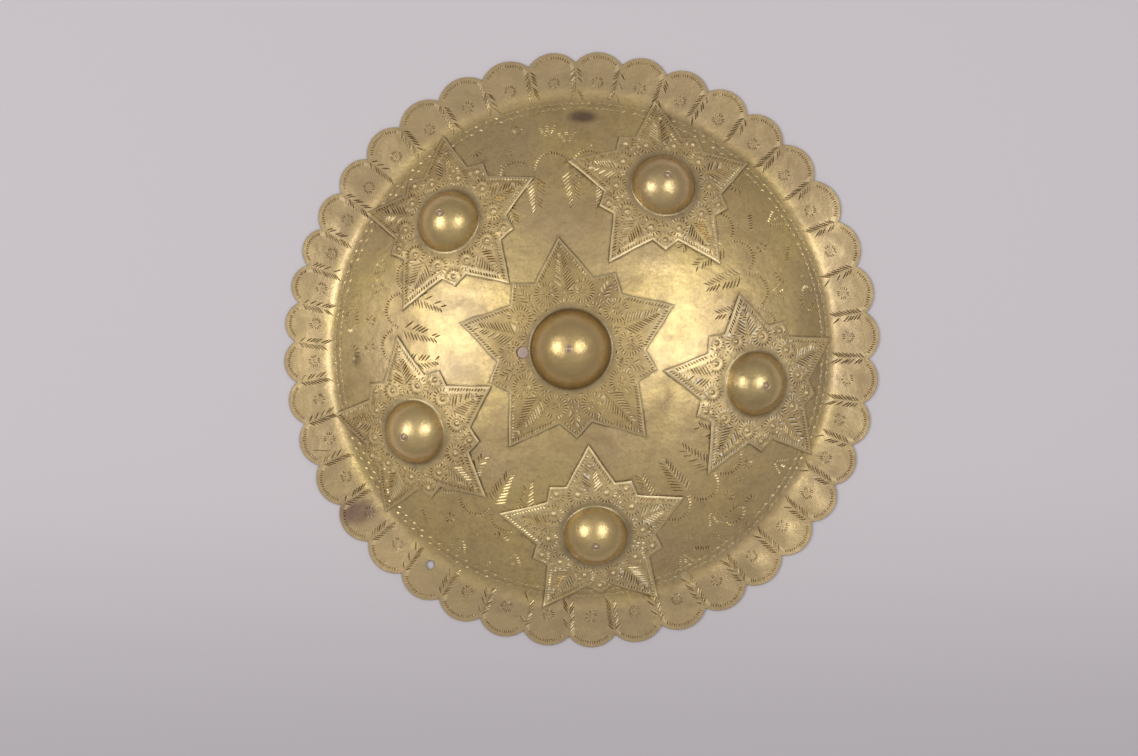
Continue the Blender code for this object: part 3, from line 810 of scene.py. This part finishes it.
def triangulate(loops, loose, lines=()):
    """Triangles over loops and loose points, with each loop's sides kept, and the given lines
    between loose points. Returns the flat points, for each the number of the given point it came
    from, the faces, and where each given point went."""
    given = np.concatenate([*loops, loose])
    sides = (np.asarray(lines, int).reshape(-1, 2) + sum(len(loop) for loop in loops)).tolist()
    first = 0
    for loop in loops:
        numbers = np.arange(len(loop)) + first
        sides += np.stack([numbers, np.roll(numbers, -1)], axis=1).tolist()
        first += len(loop)
    found = delaunay_2d_cdt([Vector(p) for p in given.tolist()], sides, [], 0, 1e-6)
    flat = np.array([tuple(p) for p in found[0]])
    source = np.array([old[0] if old else -1 for old in found[3]])
    went = np.full(len(given), -1)
    for new, old in enumerate(found[3]):
        for number in old:
            went[number] = new
    return flat, source, np.array(found[2]), went


def wall(upper, lower):
    """Two triangles for each step between two rings of equal count, facing outward when the rings
    run anticlockwise."""
    upper_next, lower_next = np.roll(upper, -1), np.roll(lower, -1)
    return np.concatenate([np.stack([lower, lower_next, upper_next], axis=1),
                           np.stack([lower, upper_next, upper], axis=1)])


def chased_sheet(name, edge, holes, cuts, extra, pitch, back_pitch, thickness, place, worn, edge_shade):
    """Mesh of a chased sheet. Its face is the flat pattern with every cut's nine points sunk by
    the cut's depth, its back is a plainer lattice, and a small bevel joins both to the edges.
    Place puts flat points in the round, worn says how far they are painted bright as wear and as a
    painted highlight, and the last one how much painted shade darkens them."""
    rim = inset_loop(edge, EDGE_BEVEL)
    hole_rims = [inset_loop(hole, -EDGE_BEVEL) for hole in holes]
    start, end = cuts[:, None, :2], cuts[:, None, 2:4]
    across = np.stack([start[..., 1] - end[..., 1], end[..., 0] - start[..., 0]], axis=2)
    across = across / np.linalg.norm(across, axis=2)[..., None]
    share, aside, sunk = CUT_TEMPLATE.T[:, None, :, None]
    points = start + (end - start) * share + across * aside * cuts[:, None, 4:5]
    depth = (cuts[:, 5][:, None] * sunk[..., 0])
    whole = within(points.reshape(-1, 2), inset_loop(rim, CUT_CLEARANCE), hole_rims)
    whole = whole.reshape(len(cuts), -1).all(axis=1)
    cut_points = points[whole].reshape(-1, 2)
    cut_depths = depth[whole].ravel()
    firsts = np.arange(whole.sum()) * len(CUT_TEMPLATE)
    cut_lines = (firsts[:, None, None] + np.array(CUT_LINES)).reshape(-1, 2)

    taken = np.concatenate([rim, *hole_rims, cut_points, extra])
    field = lattice(edge, pitch)
    field = field[free_cells(field, taken, 1)]
    loose = np.concatenate([cut_points, extra, field[within(field, rim, hole_rims)]])
    loops = [rim, *hole_rims]
    loop_count = sum(len(loop) for loop in loops)
    flat, source, faces, went = triangulate(loops, loose, cut_lines)
    faces = faces[within(flat[faces].mean(axis=1), rim, hole_rims)]
    sinks = np.zeros(loop_count + len(loose))
    sinks[loop_count:loop_count + len(cut_points)] = cut_depths
    sink = np.where(source >= 0, sinks[source], 0.0)
    # Lips over the flatter walls of the deeper cuts, later painted bright: partly wear, partly a
    # painted highlight
    lips = np.zeros(loop_count + len(loose))
    lips[loop_count:loop_count + len(cut_points)] = np.outer(
        cuts[whole, 5] > LIP_MIN_DEPTH, CUT_LIPS).ravel()
    lip = np.where(source >= 0, lips[source], 0.0)

    plain = lattice(edge, back_pitch)
    plain = plain[free_cells(plain, np.concatenate([rim, *hole_rims]), 1)]
    plain = np.concatenate([extra, plain[within(plain, rim, hole_rims)]])
    back_flat, _, back_faces, back_went = triangulate(loops, plain)
    back_faces = back_faces[within(back_flat[back_faces].mean(axis=1), rim, hole_rims)]

    rings = np.concatenate([edge, *holes])
    count = len(rings)
    front = place(flat, -sink)
    back = place(back_flat, np.full(len(back_flat), -thickness))
    upper = place(rings, np.full(count, -EDGE_BEVEL))
    lower = place(rings, np.full(count, EDGE_BEVEL - thickness))
    corners = np.concatenate([front, upper, lower, back])
    first_upper = len(front)
    first_lower = first_upper + count
    first_back = first_lower + count
    walls = []
    first = 0
    for number, loop in enumerate(loops):
        along = np.arange(first, first + len(loop))
        if number:
            along = along[::-1]
        walls += [wall(went[along], first_upper + along),
                  wall(first_upper + along, first_lower + along),
                  wall(first_lower + along, first_back + back_went[along])]
        first += len(loop)
    walls = np.concatenate(walls)
    back_faces = back_faces[:, ::-1] + first_back
    triangles = np.concatenate([faces, walls, back_faces])

    span = corners[triangles]
    flat_normals = np.cross(span[:, 1] - span[:, 0], span[:, 2] - span[:, 0])
    flat_normals /= np.maximum(np.linalg.norm(flat_normals, axis=1), 1e-12)[:, None]
    normals = np.repeat(flat_normals[:, None, :], 3, axis=1)
    smooth = (sink[faces] < 0.02).all(axis=1)
    normals[:len(faces)][smooth] = form_normals(place, flat, 0.0)[faces[smooth]]
    tail = len(faces) + len(walls)
    normals[tail:] = -form_normals(place, back_flat, -thickness)[back_faces - first_back]

    mesh = bpy.data.meshes.new(name)
    mesh.from_pydata((corners * MM).tolist(), [], triangles.tolist())
    mesh.polygons.foreach_set("use_smooth", np.ones(len(triangles), bool))
    mesh.normals_split_custom_set(normals.reshape(-1, 3).tolist())
    deepest = max(sink.max(), 0.01)
    edges = np.zeros(2 * count)
    behind = np.zeros(len(back))
    # Painted bright, partly as wear and partly as a painted highlight: the upper bevel all round,
    # and on the plates the edge's lip and the beads' tops
    wear_and_highlight = np.where(sink > 0, 0.0, worn(flat))
    upper_edge = np.repeat([1.0, 0.0], count)
    give_values(mesh, "struck", sink / deepest, edges, behind)
    give_values(mesh, "hidden_side", np.zeros(len(front)), edges, behind + 1)
    give_values(mesh, "wear_and_highlight", wear_and_highlight, upper_edge, behind)
    give_values(mesh, "lip", lip, edges, behind)
    # Painted shade at the foot of the plates' edges, on the dish only
    give_values(mesh, "edge_shade", edge_shade(flat), edges, behind)
    distances = [np.hypot(*part.T) for part in (flat, rings, rings, back_flat)]
    give_values(mesh, "from_axis", *distances)
    return mesh


def form_normals(place, flat, height):
    """Outward normals of a laid-out sheet: the cross product of its two small steps."""
    step = 0.06
    level = np.full(len(flat), height)
    along_u = place(flat + (step, 0), level) - place(flat - (step, 0), level)
    along_v = place(flat + (0, step), level) - place(flat - (0, step), level)
    normals = np.cross(along_u, along_v)
    return normals / np.linalg.norm(normals, axis=1)[:, None]


def give_values(mesh, name, *parts):
    """Store one number for every point of a mesh, given part by part."""
    layer = mesh.attributes.new(name, "FLOAT", "POINT")
    layer.data.foreach_set("value", np.concatenate(parts).astype(np.float32))


def add_piece(mesh, material, node):
    """Put a finished mesh into the scene in place of its plain solid."""
    mesh.materials.append(material)
    piece = bpy.data.objects.new(mesh.name, mesh)
    bpy.context.scene.collection.objects.link(piece)
    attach(piece, "root")
    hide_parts(node)


# Old yellow brass, hammered, chased and worn by years of rubbing. It gives the eye soft broad
# reflections in drifts of paler and browner metal, dark cuts with a bright lip, and burnished
# bosses with a browner foot. The dark in the cuts is dirt and painted shade, the bright lips and
# edges wear and a painted highlight; the darker brim, a line beside the plates and some darker and
# paler stretches are painted shade and painted light. To the right dried polish whitens the lips.
# A thin coat of old wax whitens the brightest reflections.
PATINA_NOISES = (
    # size in mm, detail, roughness, distortion
    (45.0, 4.0, 0.6, 0.0),  # drift between the two tones
    (28.0, 6.0, 0.7, 0.6),  # clouds of tarnish
    (2.2, 4.0, 0.75, 0.0),  # specks
    (8.0, 2.5, 0.5, 0.0),  # unevenness left by the hammer
)
SCRATCH_BEARINGS = (8.0, 63.0, 118.0)
SCRATCH_DEPTH = 0.045
PATCH_EDGE = 1.5
BRIM_BLEND = 4.0
POLISH_DRIFT = (2.2, -0.9, 0.0)  # how much the polish grows per metre along each axis
POLISH_HEX = "f2ead2"
# Wear and painted highlight on edges, bead tops and cut lips
WEAR_AND_HIGHLIGHT_HEX = "efdcab"
# Painted shade that darkens the brim
BRIM_SHADE_HEX = "a5906e"
BOSS_FOOT_HEX = "746c5a"
# Painted shade along the foot of the plates' edges on the dish
EDGE_SHADE_HEX = "5a4930"
BACK_HEX = "6d5636"


def brass(name, tones, tarnish, cut_dirt_and_shade, roughness, scratch_mm, hammer_mm, lips, whitened,
          stains_and_painted_light=(), boss=None, brim=None):
    """Brass from its metal outwards: each wash is a colour laid over the ones before it by a share
    between 0 and 1. Lips and whitened say how strongly the cuts' lips are painted bright, as wear
    and as a painted highlight, and whitened. Boss is the boss's radius and its burnished colour,
    brim the radius where the brim starts: darker there by painted shade, with fainter dirt and
    shade in its cuts and no whitened lips."""
    material, tree = new_material(name)
    place = add_node(tree, "ShaderNodeTexCoord").outputs["Object"]
    struck, hidden, axis, wear_and_highlight, lip, edge_shade = [
        add_node(tree, "ShaderNodeAttribute", attribute_name=kind).outputs["Fac"]
        for kind in ("struck", "hidden_side", "from_axis", "wear_and_highlight", "lip", "edge_shade")]
    drift, clouds, specks, hammer = [
        add_node(tree, "ShaderNodeTexNoise", {
            "Vector": place, "Scale": 1 / (size * MM), "Detail": detail, "Roughness": ragged,
            "Distortion": twist}).outputs["Fac"]
        for size, detail, ragged, twist in PATINA_NOISES]

    # Where dirt and painted shade darken the cuts, and where their lips are painted bright, as wear
    # and as a painted highlight, and whitened
    patchy = add_node(tree, "ShaderNodeMapRange", {
        "Value": clouds, "From Min": 0.38, "From Max": 0.60, "To Min": 0.3, "To Max": 0.95})
    dirt_and_shade_share = add_node(tree, "ShaderNodeMapRange", {
        "Value": struck, "From Min": 0.1, "From Max": 0.75, "To Max": patchy.outputs[0]})
    lean = add_node(tree, "ShaderNodeVectorMath", {0: place, 1: POLISH_DRIFT},
                    operation="DOT_PRODUCT")
    lean = add_node(tree, "ShaderNodeMath", {0: lean.outputs["Value"], 1: clouds}, operation="ADD")
    pale = add_node(tree, "ShaderNodeMapRange", {
        "Value": lean.outputs[0], "From Min": 0.54, "From Max": 0.70, "To Max": whitened})
    # On the brim: painted shade, fainter dirt and shade in the cuts, and no whitened lips
    if brim:
        outwards = {"Value": axis, "From Min": brim - BRIM_BLEND, "From Max": brim + BRIM_BLEND}
        brim_shade = add_node(tree, "ShaderNodeMapRange", {**outwards, "To Max": 0.75})
        rinsed = add_node(tree, "ShaderNodeMapRange", {**outwards, "To Min": 1.0, "To Max": 0.7})
        dirt_and_shade_share = add_node(tree, "ShaderNodeMath", {
            0: dirt_and_shade_share.outputs[0], 1: rinsed.outputs[0]}, operation="MULTIPLY")
        unpolished = add_node(tree, "ShaderNodeMapRange", {
            **outwards, "To Min": 1.0, "To Max": 0.0})
        pale = add_node(tree, "ShaderNodeMath", {
            0: pale.outputs[0], 1: unpolished.outputs[0]}, operation="MULTIPLY")
    lip = add_node(tree, "ShaderNodeMapRange", {
        "Value": lip, "From Min": 0.55, "From Max": 1.0, "To Max": lips}).outputs[0]
    chalk = add_node(tree, "ShaderNodeMath", {0: pale.outputs[0], 1: lip}, operation="MULTIPLY")
    wear_and_highlight = add_node(tree, "ShaderNodeMath", {0: wear_and_highlight, 1: lip}, operation="MAXIMUM")
    bright = add_node(tree, "ShaderNodeMath", {0: wear_and_highlight.outputs[0], 1: 0.75}, operation="MULTIPLY")

    tone_share = add_node(tree, "ShaderNodeMapRange", {
        "Value": drift, "From Min": 0.36, "From Max": 0.64})
    film = add_node(tree, "ShaderNodeMapRange", {
        "Value": clouds, "From Min": 0.47, "From Max": 0.70, "To Max": 0.75})
    speckled = add_node(tree, "ShaderNodeMapRange", {
        "Value": specks, "From Min": 0.48, "From Max": 0.72, "To Max": 0.6})
    washes = [(tone_share, tones[1]), (film, tarnish)]
    if brim:
        washes.append((brim_shade, BRIM_SHADE_HEX))
    washes.append((speckled, tarnish))
    # Stains, and patches of painted shade and painted light, each a soft ragged oval
    for (sx, sy, sz), spread, softness, patch_hex, strength in stains_and_painted_light:
        away = add_node(tree, "ShaderNodeVectorMath", {
            0: place, 1: (sx * MM, sy * MM, sz * MM)}, operation="SUBTRACT")
        scaled = add_node(tree, "ShaderNodeVectorMath", {
            0: away.outputs[0], 1: tuple(1 / (s * MM) for s in spread)}, operation="MULTIPLY")
        reach = add_node(tree, "ShaderNodeVectorMath", {0: scaled.outputs[0]}, operation="LENGTH")
        ragged = add_node(tree, "ShaderNodeMath", {
            0: reach.outputs["Value"], 1: clouds}, operation="ADD")
        share = add_node(tree, "ShaderNodeMapRange", {
            "Value": ragged.outputs[0], "From Min": PATCH_EDGE, "From Max": PATCH_EDGE - softness,
            "To Max": strength})
        washes.append((share, patch_hex))
    # Dirt and painted shade in the cuts, then lips and edges painted bright by wear and a painted
    # highlight, then whitening polish
    washes += [(dirt_and_shade_share, cut_dirt_and_shade), (bright, WEAR_AND_HIGHLIGHT_HEX), (chalk, POLISH_HEX)]
    if boss:
        radius, burnished = boss
        near = add_node(tree, "ShaderNodeMapRange", {
            "Value": axis, "From Min": radius + 4.0, "From Max": radius + 0.3, "To Max": 0.45})
        on_boss = add_node(tree, "ShaderNodeMapRange", {
            "Value": axis, "From Min": radius - 1.8, "From Max": radius - 0.2, "To Min": 0.15})
        foot = add_node(tree, "ShaderNodeMath", {
            0: near.outputs[0], 1: on_boss.outputs[0]}, operation="MULTIPLY")
        burnish = add_node(tree, "ShaderNodeMapRange", {
            "Value": axis, "From Min": radius - 1.0, "From Max": radius - 4.0, "To Max": 0.6})
        washes += [(foot, BOSS_FOOT_HEX), (burnish, burnished)]
    # Painted shade along the plates' edges, broken up by the clouds
    edge_shade = add_node(tree, "ShaderNodeMath", {0: edge_shade, 1: patchy.outputs[0]}, operation="MULTIPLY")
    dulled = add_node(tree, "ShaderNodeMath", {0: hidden, 1: 0.6}, operation="MULTIPLY")
    washes += [(edge_shade, EDGE_SHADE_HEX), (dulled, BACK_HEX)]
    colour = linear(tones[0])
    for share, wash in washes:
        colour = add_node(tree, "ShaderNodeMix", {
            0: share.outputs[0], 6: colour, 7: linear(wash)}, data_type="RGBA").outputs[2]

    rough = add_node(tree, "ShaderNodeMapRange", {
        "Value": clouds, "From Min": 0.3, "From Max": 0.7, "To Min": roughness - 0.09,
        "To Max": roughness + 0.13})
    if boss:
        rough = add_node(tree, "ShaderNodeMapRange", {
            "Value": axis, "From Min": radius - 1.5, "From Max": radius + 0.5, "To Min": 0.32,
            "To Max": rough.outputs[0]})
    rough = add_node(tree, "ShaderNodeMapRange", {
        "Value": struck, "From Min": 0.1, "From Max": 0.6, "To Min": rough.outputs[0],
        "To Max": 0.30})
    scratches = 0.0
    for turned in SCRATCH_BEARINGS:
        lines = add_node(tree, "ShaderNodeMapping", {
            "Vector": place, "Rotation": (0, 0, math.radians(turned)),
            "Scale": (scratch_mm * MM, 9 * scratch_mm * MM, 6 * MM)}, vector_type="TEXTURE")
        scratch = add_node(tree, "ShaderNodeTexNoise", {
            "Vector": lines.outputs[0], "Scale": 1.0, "Detail": 3.0, "Roughness": 0.65})
        scratches = add_node(tree, "ShaderNodeMath", {
            0: scratches, 1: scratch.outputs["Fac"]}, operation="ADD").outputs[0]
    fine = add_node(tree, "ShaderNodeBump", {
        "Height": scratches, "Strength": 1.0, "Distance": SCRATCH_DEPTH * MM})
    broad = add_node(tree, "ShaderNodeBump", {
        "Height": hammer, "Strength": 1.0, "Distance": hammer_mm * MM, "Normal": fine.outputs[0]})
    metal = add_node(tree, "ShaderNodeMapRange", {
        "Value": chalk.outputs[0], "To Min": 1.0, "To Max": 0.4})
    shader = add_node(tree, "ShaderNodeBsdfPrincipled", {
        "Base Color": colour, "Metallic": metal.outputs[0], "Roughness": rough.outputs[0],
        "Normal": broad.outputs[0], "Coat Weight": 0.5, "Coat Roughness": 0.2})
    add_node(tree, "ShaderNodeOutputMaterial", {"Surface": shader.outputs[0]})
    return material


plates = [Plate(*row) for row in PLATES]

# Dish, pierced and chased
# One hole goes through it under every rivet, and the lost nail's hole through its brim. A hole
# beside the centre boss goes through its plate only, and shows grey-pink solder on the dish.
PLATE_HOLE_RADIUS = 3.5
PLATE_HOLE_BEARING = 184.0
PLATE_HOLE_FROM_BOSS = 0.5
hole_x, hole_y = polar(plates[0].foot + PLATE_HOLE_FROM_BOSS + PLATE_HOLE_RADIUS,
                       PLATE_HOLE_BEARING)
plate_hole = ring(hole_x, hole_y, PLATE_HOLE_RADIUS, 28)
dish_holes = [plate.plan(ring(0, 0, RIVET_HOLE_RADIUS, 12)) for plate in plates]
dish_holes.append(ring(nail_x, nail_y, NAIL_HOLE[2], 24))

# Marks that a plate covers are left out
mark_middles = (dish_marks[:, :2] + dish_marks[:, 2:4]) / 2
for plate in plates:
    cover = plate.plan(inset_loop(plate.edge, 2.5))
    uncovered = ~inside(mark_middles, cover)
    dish_marks = dish_marks[uncovered]
    mark_middles = mark_middles[uncovered]
dish_marks = keep_apart(dish_marks)


def nothing(flat):
    """No wear, no painted highlight and no painted shade anywhere."""
    return np.zeros(len(flat))


def plate_edge_shade(flat):
    """Painted shade at the foot of the plates' edges: most up to 0.4 mm outside them, none at
    1.3 mm.
    """
    away = np.full(len(flat), 9.0)
    for plate in plates:
        outline = plate.plan(plate.edge)
        near = np.hypot(*(flat - outline.mean(axis=0)).T) < plate.reach * 1.1
        away[near] = np.minimum(away[near], edge_distance(flat[near], outline))
    return 0.75 * (1 - ramp(away, 0.4, 1.3))


# Extra points just outside every plate's edge carry the painted shade there
edge_shade_lines = np.concatenate([plate.plan(inset_loop(plate.edge, -out))
                              for plate in plates for out in (0.1, 0.5, 1.3)])
mark_points = np.concatenate([dish_marks[:, :2] * (1 - share) + dish_marks[:, 2:4] * share
                              for share in (0.0, 0.25, 0.5, 0.75, 1.0)])
edge_shade_lines = edge_shade_lines[free_cells(edge_shade_lines, mark_points, 1)]

# Stains where the real shield has them, then stretches of painted shade and patches of painted
# light on the brim and the dome
STAINS_AND_PAINTED_LIGHT = (
    # place, spread, softness, colour, strength
    ((-136.0, -98.5, 1.5), (15.0, 9.0, 9.0), 0.5, "7b5f55", 0.8),
    ((1.5, 139.5, 10.0), (11.0, 5.5, 9.0), 0.5, "6f5848", 0.75),
    ((-134.5, -6.5, 12.0), (3.5, 6.0, 9.0), 0.6, "75603f", 0.6),
    ((52.0, -33.0, 43.0), (3.0, 9.0, 9.0), 0.6, "8a6a62", 0.3),
    # Painted shade: darker stretches on the upper right and right of the brim and the dome's foot
    ((122.0, 112.0, 3.0), (44.0, 44.0, 30.0), 0.9, "8c7656", 0.35),
    ((140.0, 4.0, 10.0), (14.0, 60.0, 30.0), 0.9, "8c7656", 0.35),
    ((170.0, 0.0, 2.0), (14.0, 50.0, 30.0), 0.9, "8c7656", 0.30),
    # Painted light: paler patches on the brim's left and lower parts
    ((-168.0, 0.0, 2.0), (13.0, 60.0, 30.0), 0.9, "e0c68e", 0.55),
    ((126.0, -112.0, 2.0), (40.0, 40.0, 30.0), 0.9, "e0c68e", 0.35),
    ((-112.0, -126.0, 2.0), (40.0, 40.0, 30.0), 0.9, "e0c68e", 0.30),
    # Painted shade over the bright reflection left of the middle of the dome
    ((-66.0, 12.0, 46.0), (26.0, 22.0, 30.0), 0.9, "a98e64", 0.45),
)
SOLDER = ((*plates[0].plan(plate_hole).mean(axis=0), 46.0), (7.0, 7.0, 30.0), 0.3, "aa968b", 0.95)
DISH_PITCH = 3.0
DISH_BACK_PITCH = 6.0
dish_mesh = chased_sheet("dish", dish_edge, dish_holes, dish_marks, edge_shade_lines, DISH_PITCH,
                         DISH_BACK_PITCH, DISH_SHEET, place_on_dish, nothing, plate_edge_shade)
dish_brass = brass(
    "raised_brass_rubbed", tones=("e3c985", "d4ba88"), tarnish="ab9169", cut_dirt_and_shade="6e5836",
    roughness=0.41, scratch_mm=0.35, hammer_mm=0.40, lips=0.45, whitened=0.35,
    stains_and_painted_light=(*STAINS_AND_PAINTED_LIGHT, SOLDER), brim=TURN_END)
add_piece(dish_mesh, dish_brass, "shield_dish")

# Star plates, chased
# Each sheet has its own tone and wear, from the dull flat centre one to the bright ones around it.
# Its boss is burnished smooth, and any beads are struck up from behind.
STAR_PITCH = 1.5
STAR_BACK_PITCH = 4.0
STAR_TARNISH_HEX = "a08660"
BEAD_STEPS = (0.5, 0.95, 1.2, 1.45, 1.85)
PLATE_LOOKS = {
    # two tones of the metal, dirt and painted shade in the cuts, burnished boss, roughness, how
    # bright the lips of the cuts are painted by wear and painted highlight
    "centre": (("c4ab72", "b69d6c"), "a08a5c", "e7c887", 0.50, 0.9),
    "upper_left": (("e2c88c", "d0b683"), "705a36", "dec382", 0.47, 1.0),
    "upper_right": (("e8ce92", "d6bc88"), "7a643e", "d6bb85", 0.47, 1.0),
    "right": (("efd598", "dcc28d"), "6f5935", "ccb47a", 0.44, 1.0),
    "bottom": (("f0d89c", "e2ca94"), "9c8658", "dec180", 0.47, 1.0),
    "lower_left": (("e2c88c", "d0b683"), "7a643e", "ebcf90", 0.47, 1.0),
}
for plate in plates:
    cuts = star_marks(plate)
    cap_radii = plate.cap * np.sin(
        np.linspace(0.12, 0.985, 11) * math.asin(plate.cap_edge / plate.cap))
    foot_radii = (plate.cap_edge, *(plate.foot + np.array([-1.15, -0.65, 0.0, 0.7])))
    rings = [ring(0, 0, r, 72, r * 40) for r in (*cap_radii, *foot_radii)]
    for bead in plate.beads:
        rings.append(bead[None, :])
        rings += [ring(*bead, r * BEAD_RADIUS, 10, r * 77) for r in BEAD_STEPS]
    rings += [inset_loop(plate.edge, inset) for inset in (0.75, 1.4)]
    extra = np.concatenate(rings)
    holes = [ring(0, 0, RIVET_HOLE_RADIUS, 16)]
    if plate.name == "centre":
        holes.append(plate_hole)
        extra = extra[~inside(extra, ring(hole_x, hole_y, PLATE_HOLE_RADIUS + 0.7, 28))]
    extra = extra[inside(extra, inset_loop(plate.edge, 0.6))]
    mesh = chased_sheet("star_" + plate.name, plate.edge, holes, cuts, extra, STAR_PITCH,
                        STAR_BACK_PITCH, STAR_SHEET, plate.place, plate.worn, nothing)
    tones, cut_dirt_and_shade, burnished, roughness, lips = PLATE_LOOKS[plate.name]
    star_brass = brass(
        "chased_brass_" + plate.name, tones=tones, tarnish=STAR_TARNISH_HEX, cut_dirt_and_shade=cut_dirt_and_shade,
        roughness=roughness, scratch_mm=0.3, hammer_mm=0.45, lips=lips, whitened=1.0,
        boss=(plate.foot, burnished))
    add_piece(mesh, star_brass, "star_boss_" + plate.name)

# Rivets
# Short pins of softer, redder brass, one through each boss. The head is hammered to a small dome
# with a ring sunk in it, and the tail is spread flat behind. Hammering leaves the metal dull, in
# patches of pale and reddish brown.
RIVET_SHANK = 1.2
RIVET_HEAD = 2.6
RIVET_HEAD_HEIGHT = 0.75
RIVET_HEAD_PROFILE = (
    # share of the head's radius, share of its height
    (0.0, 1.0), (0.2, 0.94), (0.38, 0.72), (0.5, 0.30), (0.6, 0.22), (0.72, 0.46), (0.84, 0.58),
    (0.94, 0.46), (1.0, 0.1))
RIVET_TAIL = 2.25
RIVET_TAIL_HEIGHT = 1.0
# Share of the tail's radius, share of its height
RIVET_TAIL_PROFILE = ((1.0, 0.05), (0.96, 0.4), (0.7, 1.0), (0.0, 1.0))
RIVET_GAP = 0.3
RIVET_SEAT_GAP = 0.02
RIVET_SEGMENTS = 28
RIVET_HEX = "dcc5a4"
RIVET_WORN_HEX = "a98a72"


def turned_mesh(name, radii, heights, frame_matrix, seat):
    """A profile turned around an axis: each ring is radius * (cos, sin), and the two ends close
    on single points."""
    angles = 2 * math.pi * np.arange(RIVET_SEGMENTS) / RIVET_SEGMENTS
    x = np.outer(radii[1:-1], np.cos(angles))
    y = np.outer(radii[1:-1], np.sin(angles))
    z = np.repeat(heights[1:-1, None], RIVET_SEGMENTS, axis=1)
    body = np.stack([x, y, z], axis=2).reshape(-1, 3)
    points = np.concatenate([[(0, 0, heights[0])], body, [(0, 0, heights[-1])]])
    around = np.arange(RIVET_SEGMENTS)
    faces = [np.stack([np.zeros(RIVET_SEGMENTS, int), 1 + around, 1 + np.roll(around, -1)], axis=1)]
    for row in range(len(radii) - 3):
        upper = 1 + row * RIVET_SEGMENTS + around
        faces.append(wall(upper, upper + RIVET_SEGMENTS))
    last = 1 + (len(radii) - 3) * RIVET_SEGMENTS + around
    tip = np.full(RIVET_SEGMENTS, len(points) - 1)
    faces.append(np.stack([last, tip, np.roll(last, -1)], axis=1))
    mesh = bpy.data.meshes.new(name)
    points = (points @ frame_matrix.T + seat) * MM
    mesh.from_pydata(points.tolist(), [], np.concatenate(faces).tolist())
    mesh.shade_smooth()
    mesh.set_sharp_from_angle(angle=math.radians(40))
    return mesh


rivet_brass, tree = new_material("hammered_red_brass")
place = add_node(tree, "ShaderNodeTexCoord").outputs["Object"]
worn = add_node(tree, "ShaderNodeTexNoise", {
    "Vector": place, "Scale": 1 / (1.2 * MM), "Detail": 3.0})
colour = add_node(tree, "ShaderNodeMix", {
    0: worn.outputs["Fac"], 6: linear(RIVET_HEX), 7: linear(RIVET_WORN_HEX)}, data_type="RGBA")
bump = add_node(tree, "ShaderNodeBump", {"Height": worn.outputs["Fac"], "Distance": 0.12 * MM})
shader = add_node(tree, "ShaderNodeBsdfPrincipled", {
    "Base Color": colour.outputs[2], "Metallic": 1.0, "Roughness": 0.42,
    "Normal": bump.outputs[0]})
add_node(tree, "ShaderNodeOutputMaterial", {"Surface": shader.outputs[0]})

head_radii, head_heights = np.array(RIVET_HEAD_PROFILE).T
tail_radii, tail_heights = np.array(RIVET_TAIL_PROFILE).T
radii = np.array([*RIVET_HEAD * head_radii, RIVET_SHANK, RIVET_SHANK, *RIVET_TAIL * tail_radii])
back = -DISH_SHEET - RIVET_GAP
for plate in plates:
    seat_point = np.array([0, 0, DOME_HEIGHT - SPHERE_RADIUS]) + plate.axis * SPHERE_RADIUS
    settle = dish_height(*seat_point[:2]) - seat_point[2]
    seat = seat_point + (0, 0, float(settle))
    front = PLATE_GAP + STAR_SHEET + plate.boss_height + RIVET_SEAT_GAP
    heights = np.array([*(front + RIVET_HEAD_HEIGHT * head_heights), front - 0.1, back,
                        *(back - RIVET_TAIL_HEIGHT * tail_heights)])
    mesh = turned_mesh("rivet_pin_" + plate.name, radii, heights, plate.frame, seat)
    add_piece(mesh, rivet_brass, "rivet_" + plate.name)
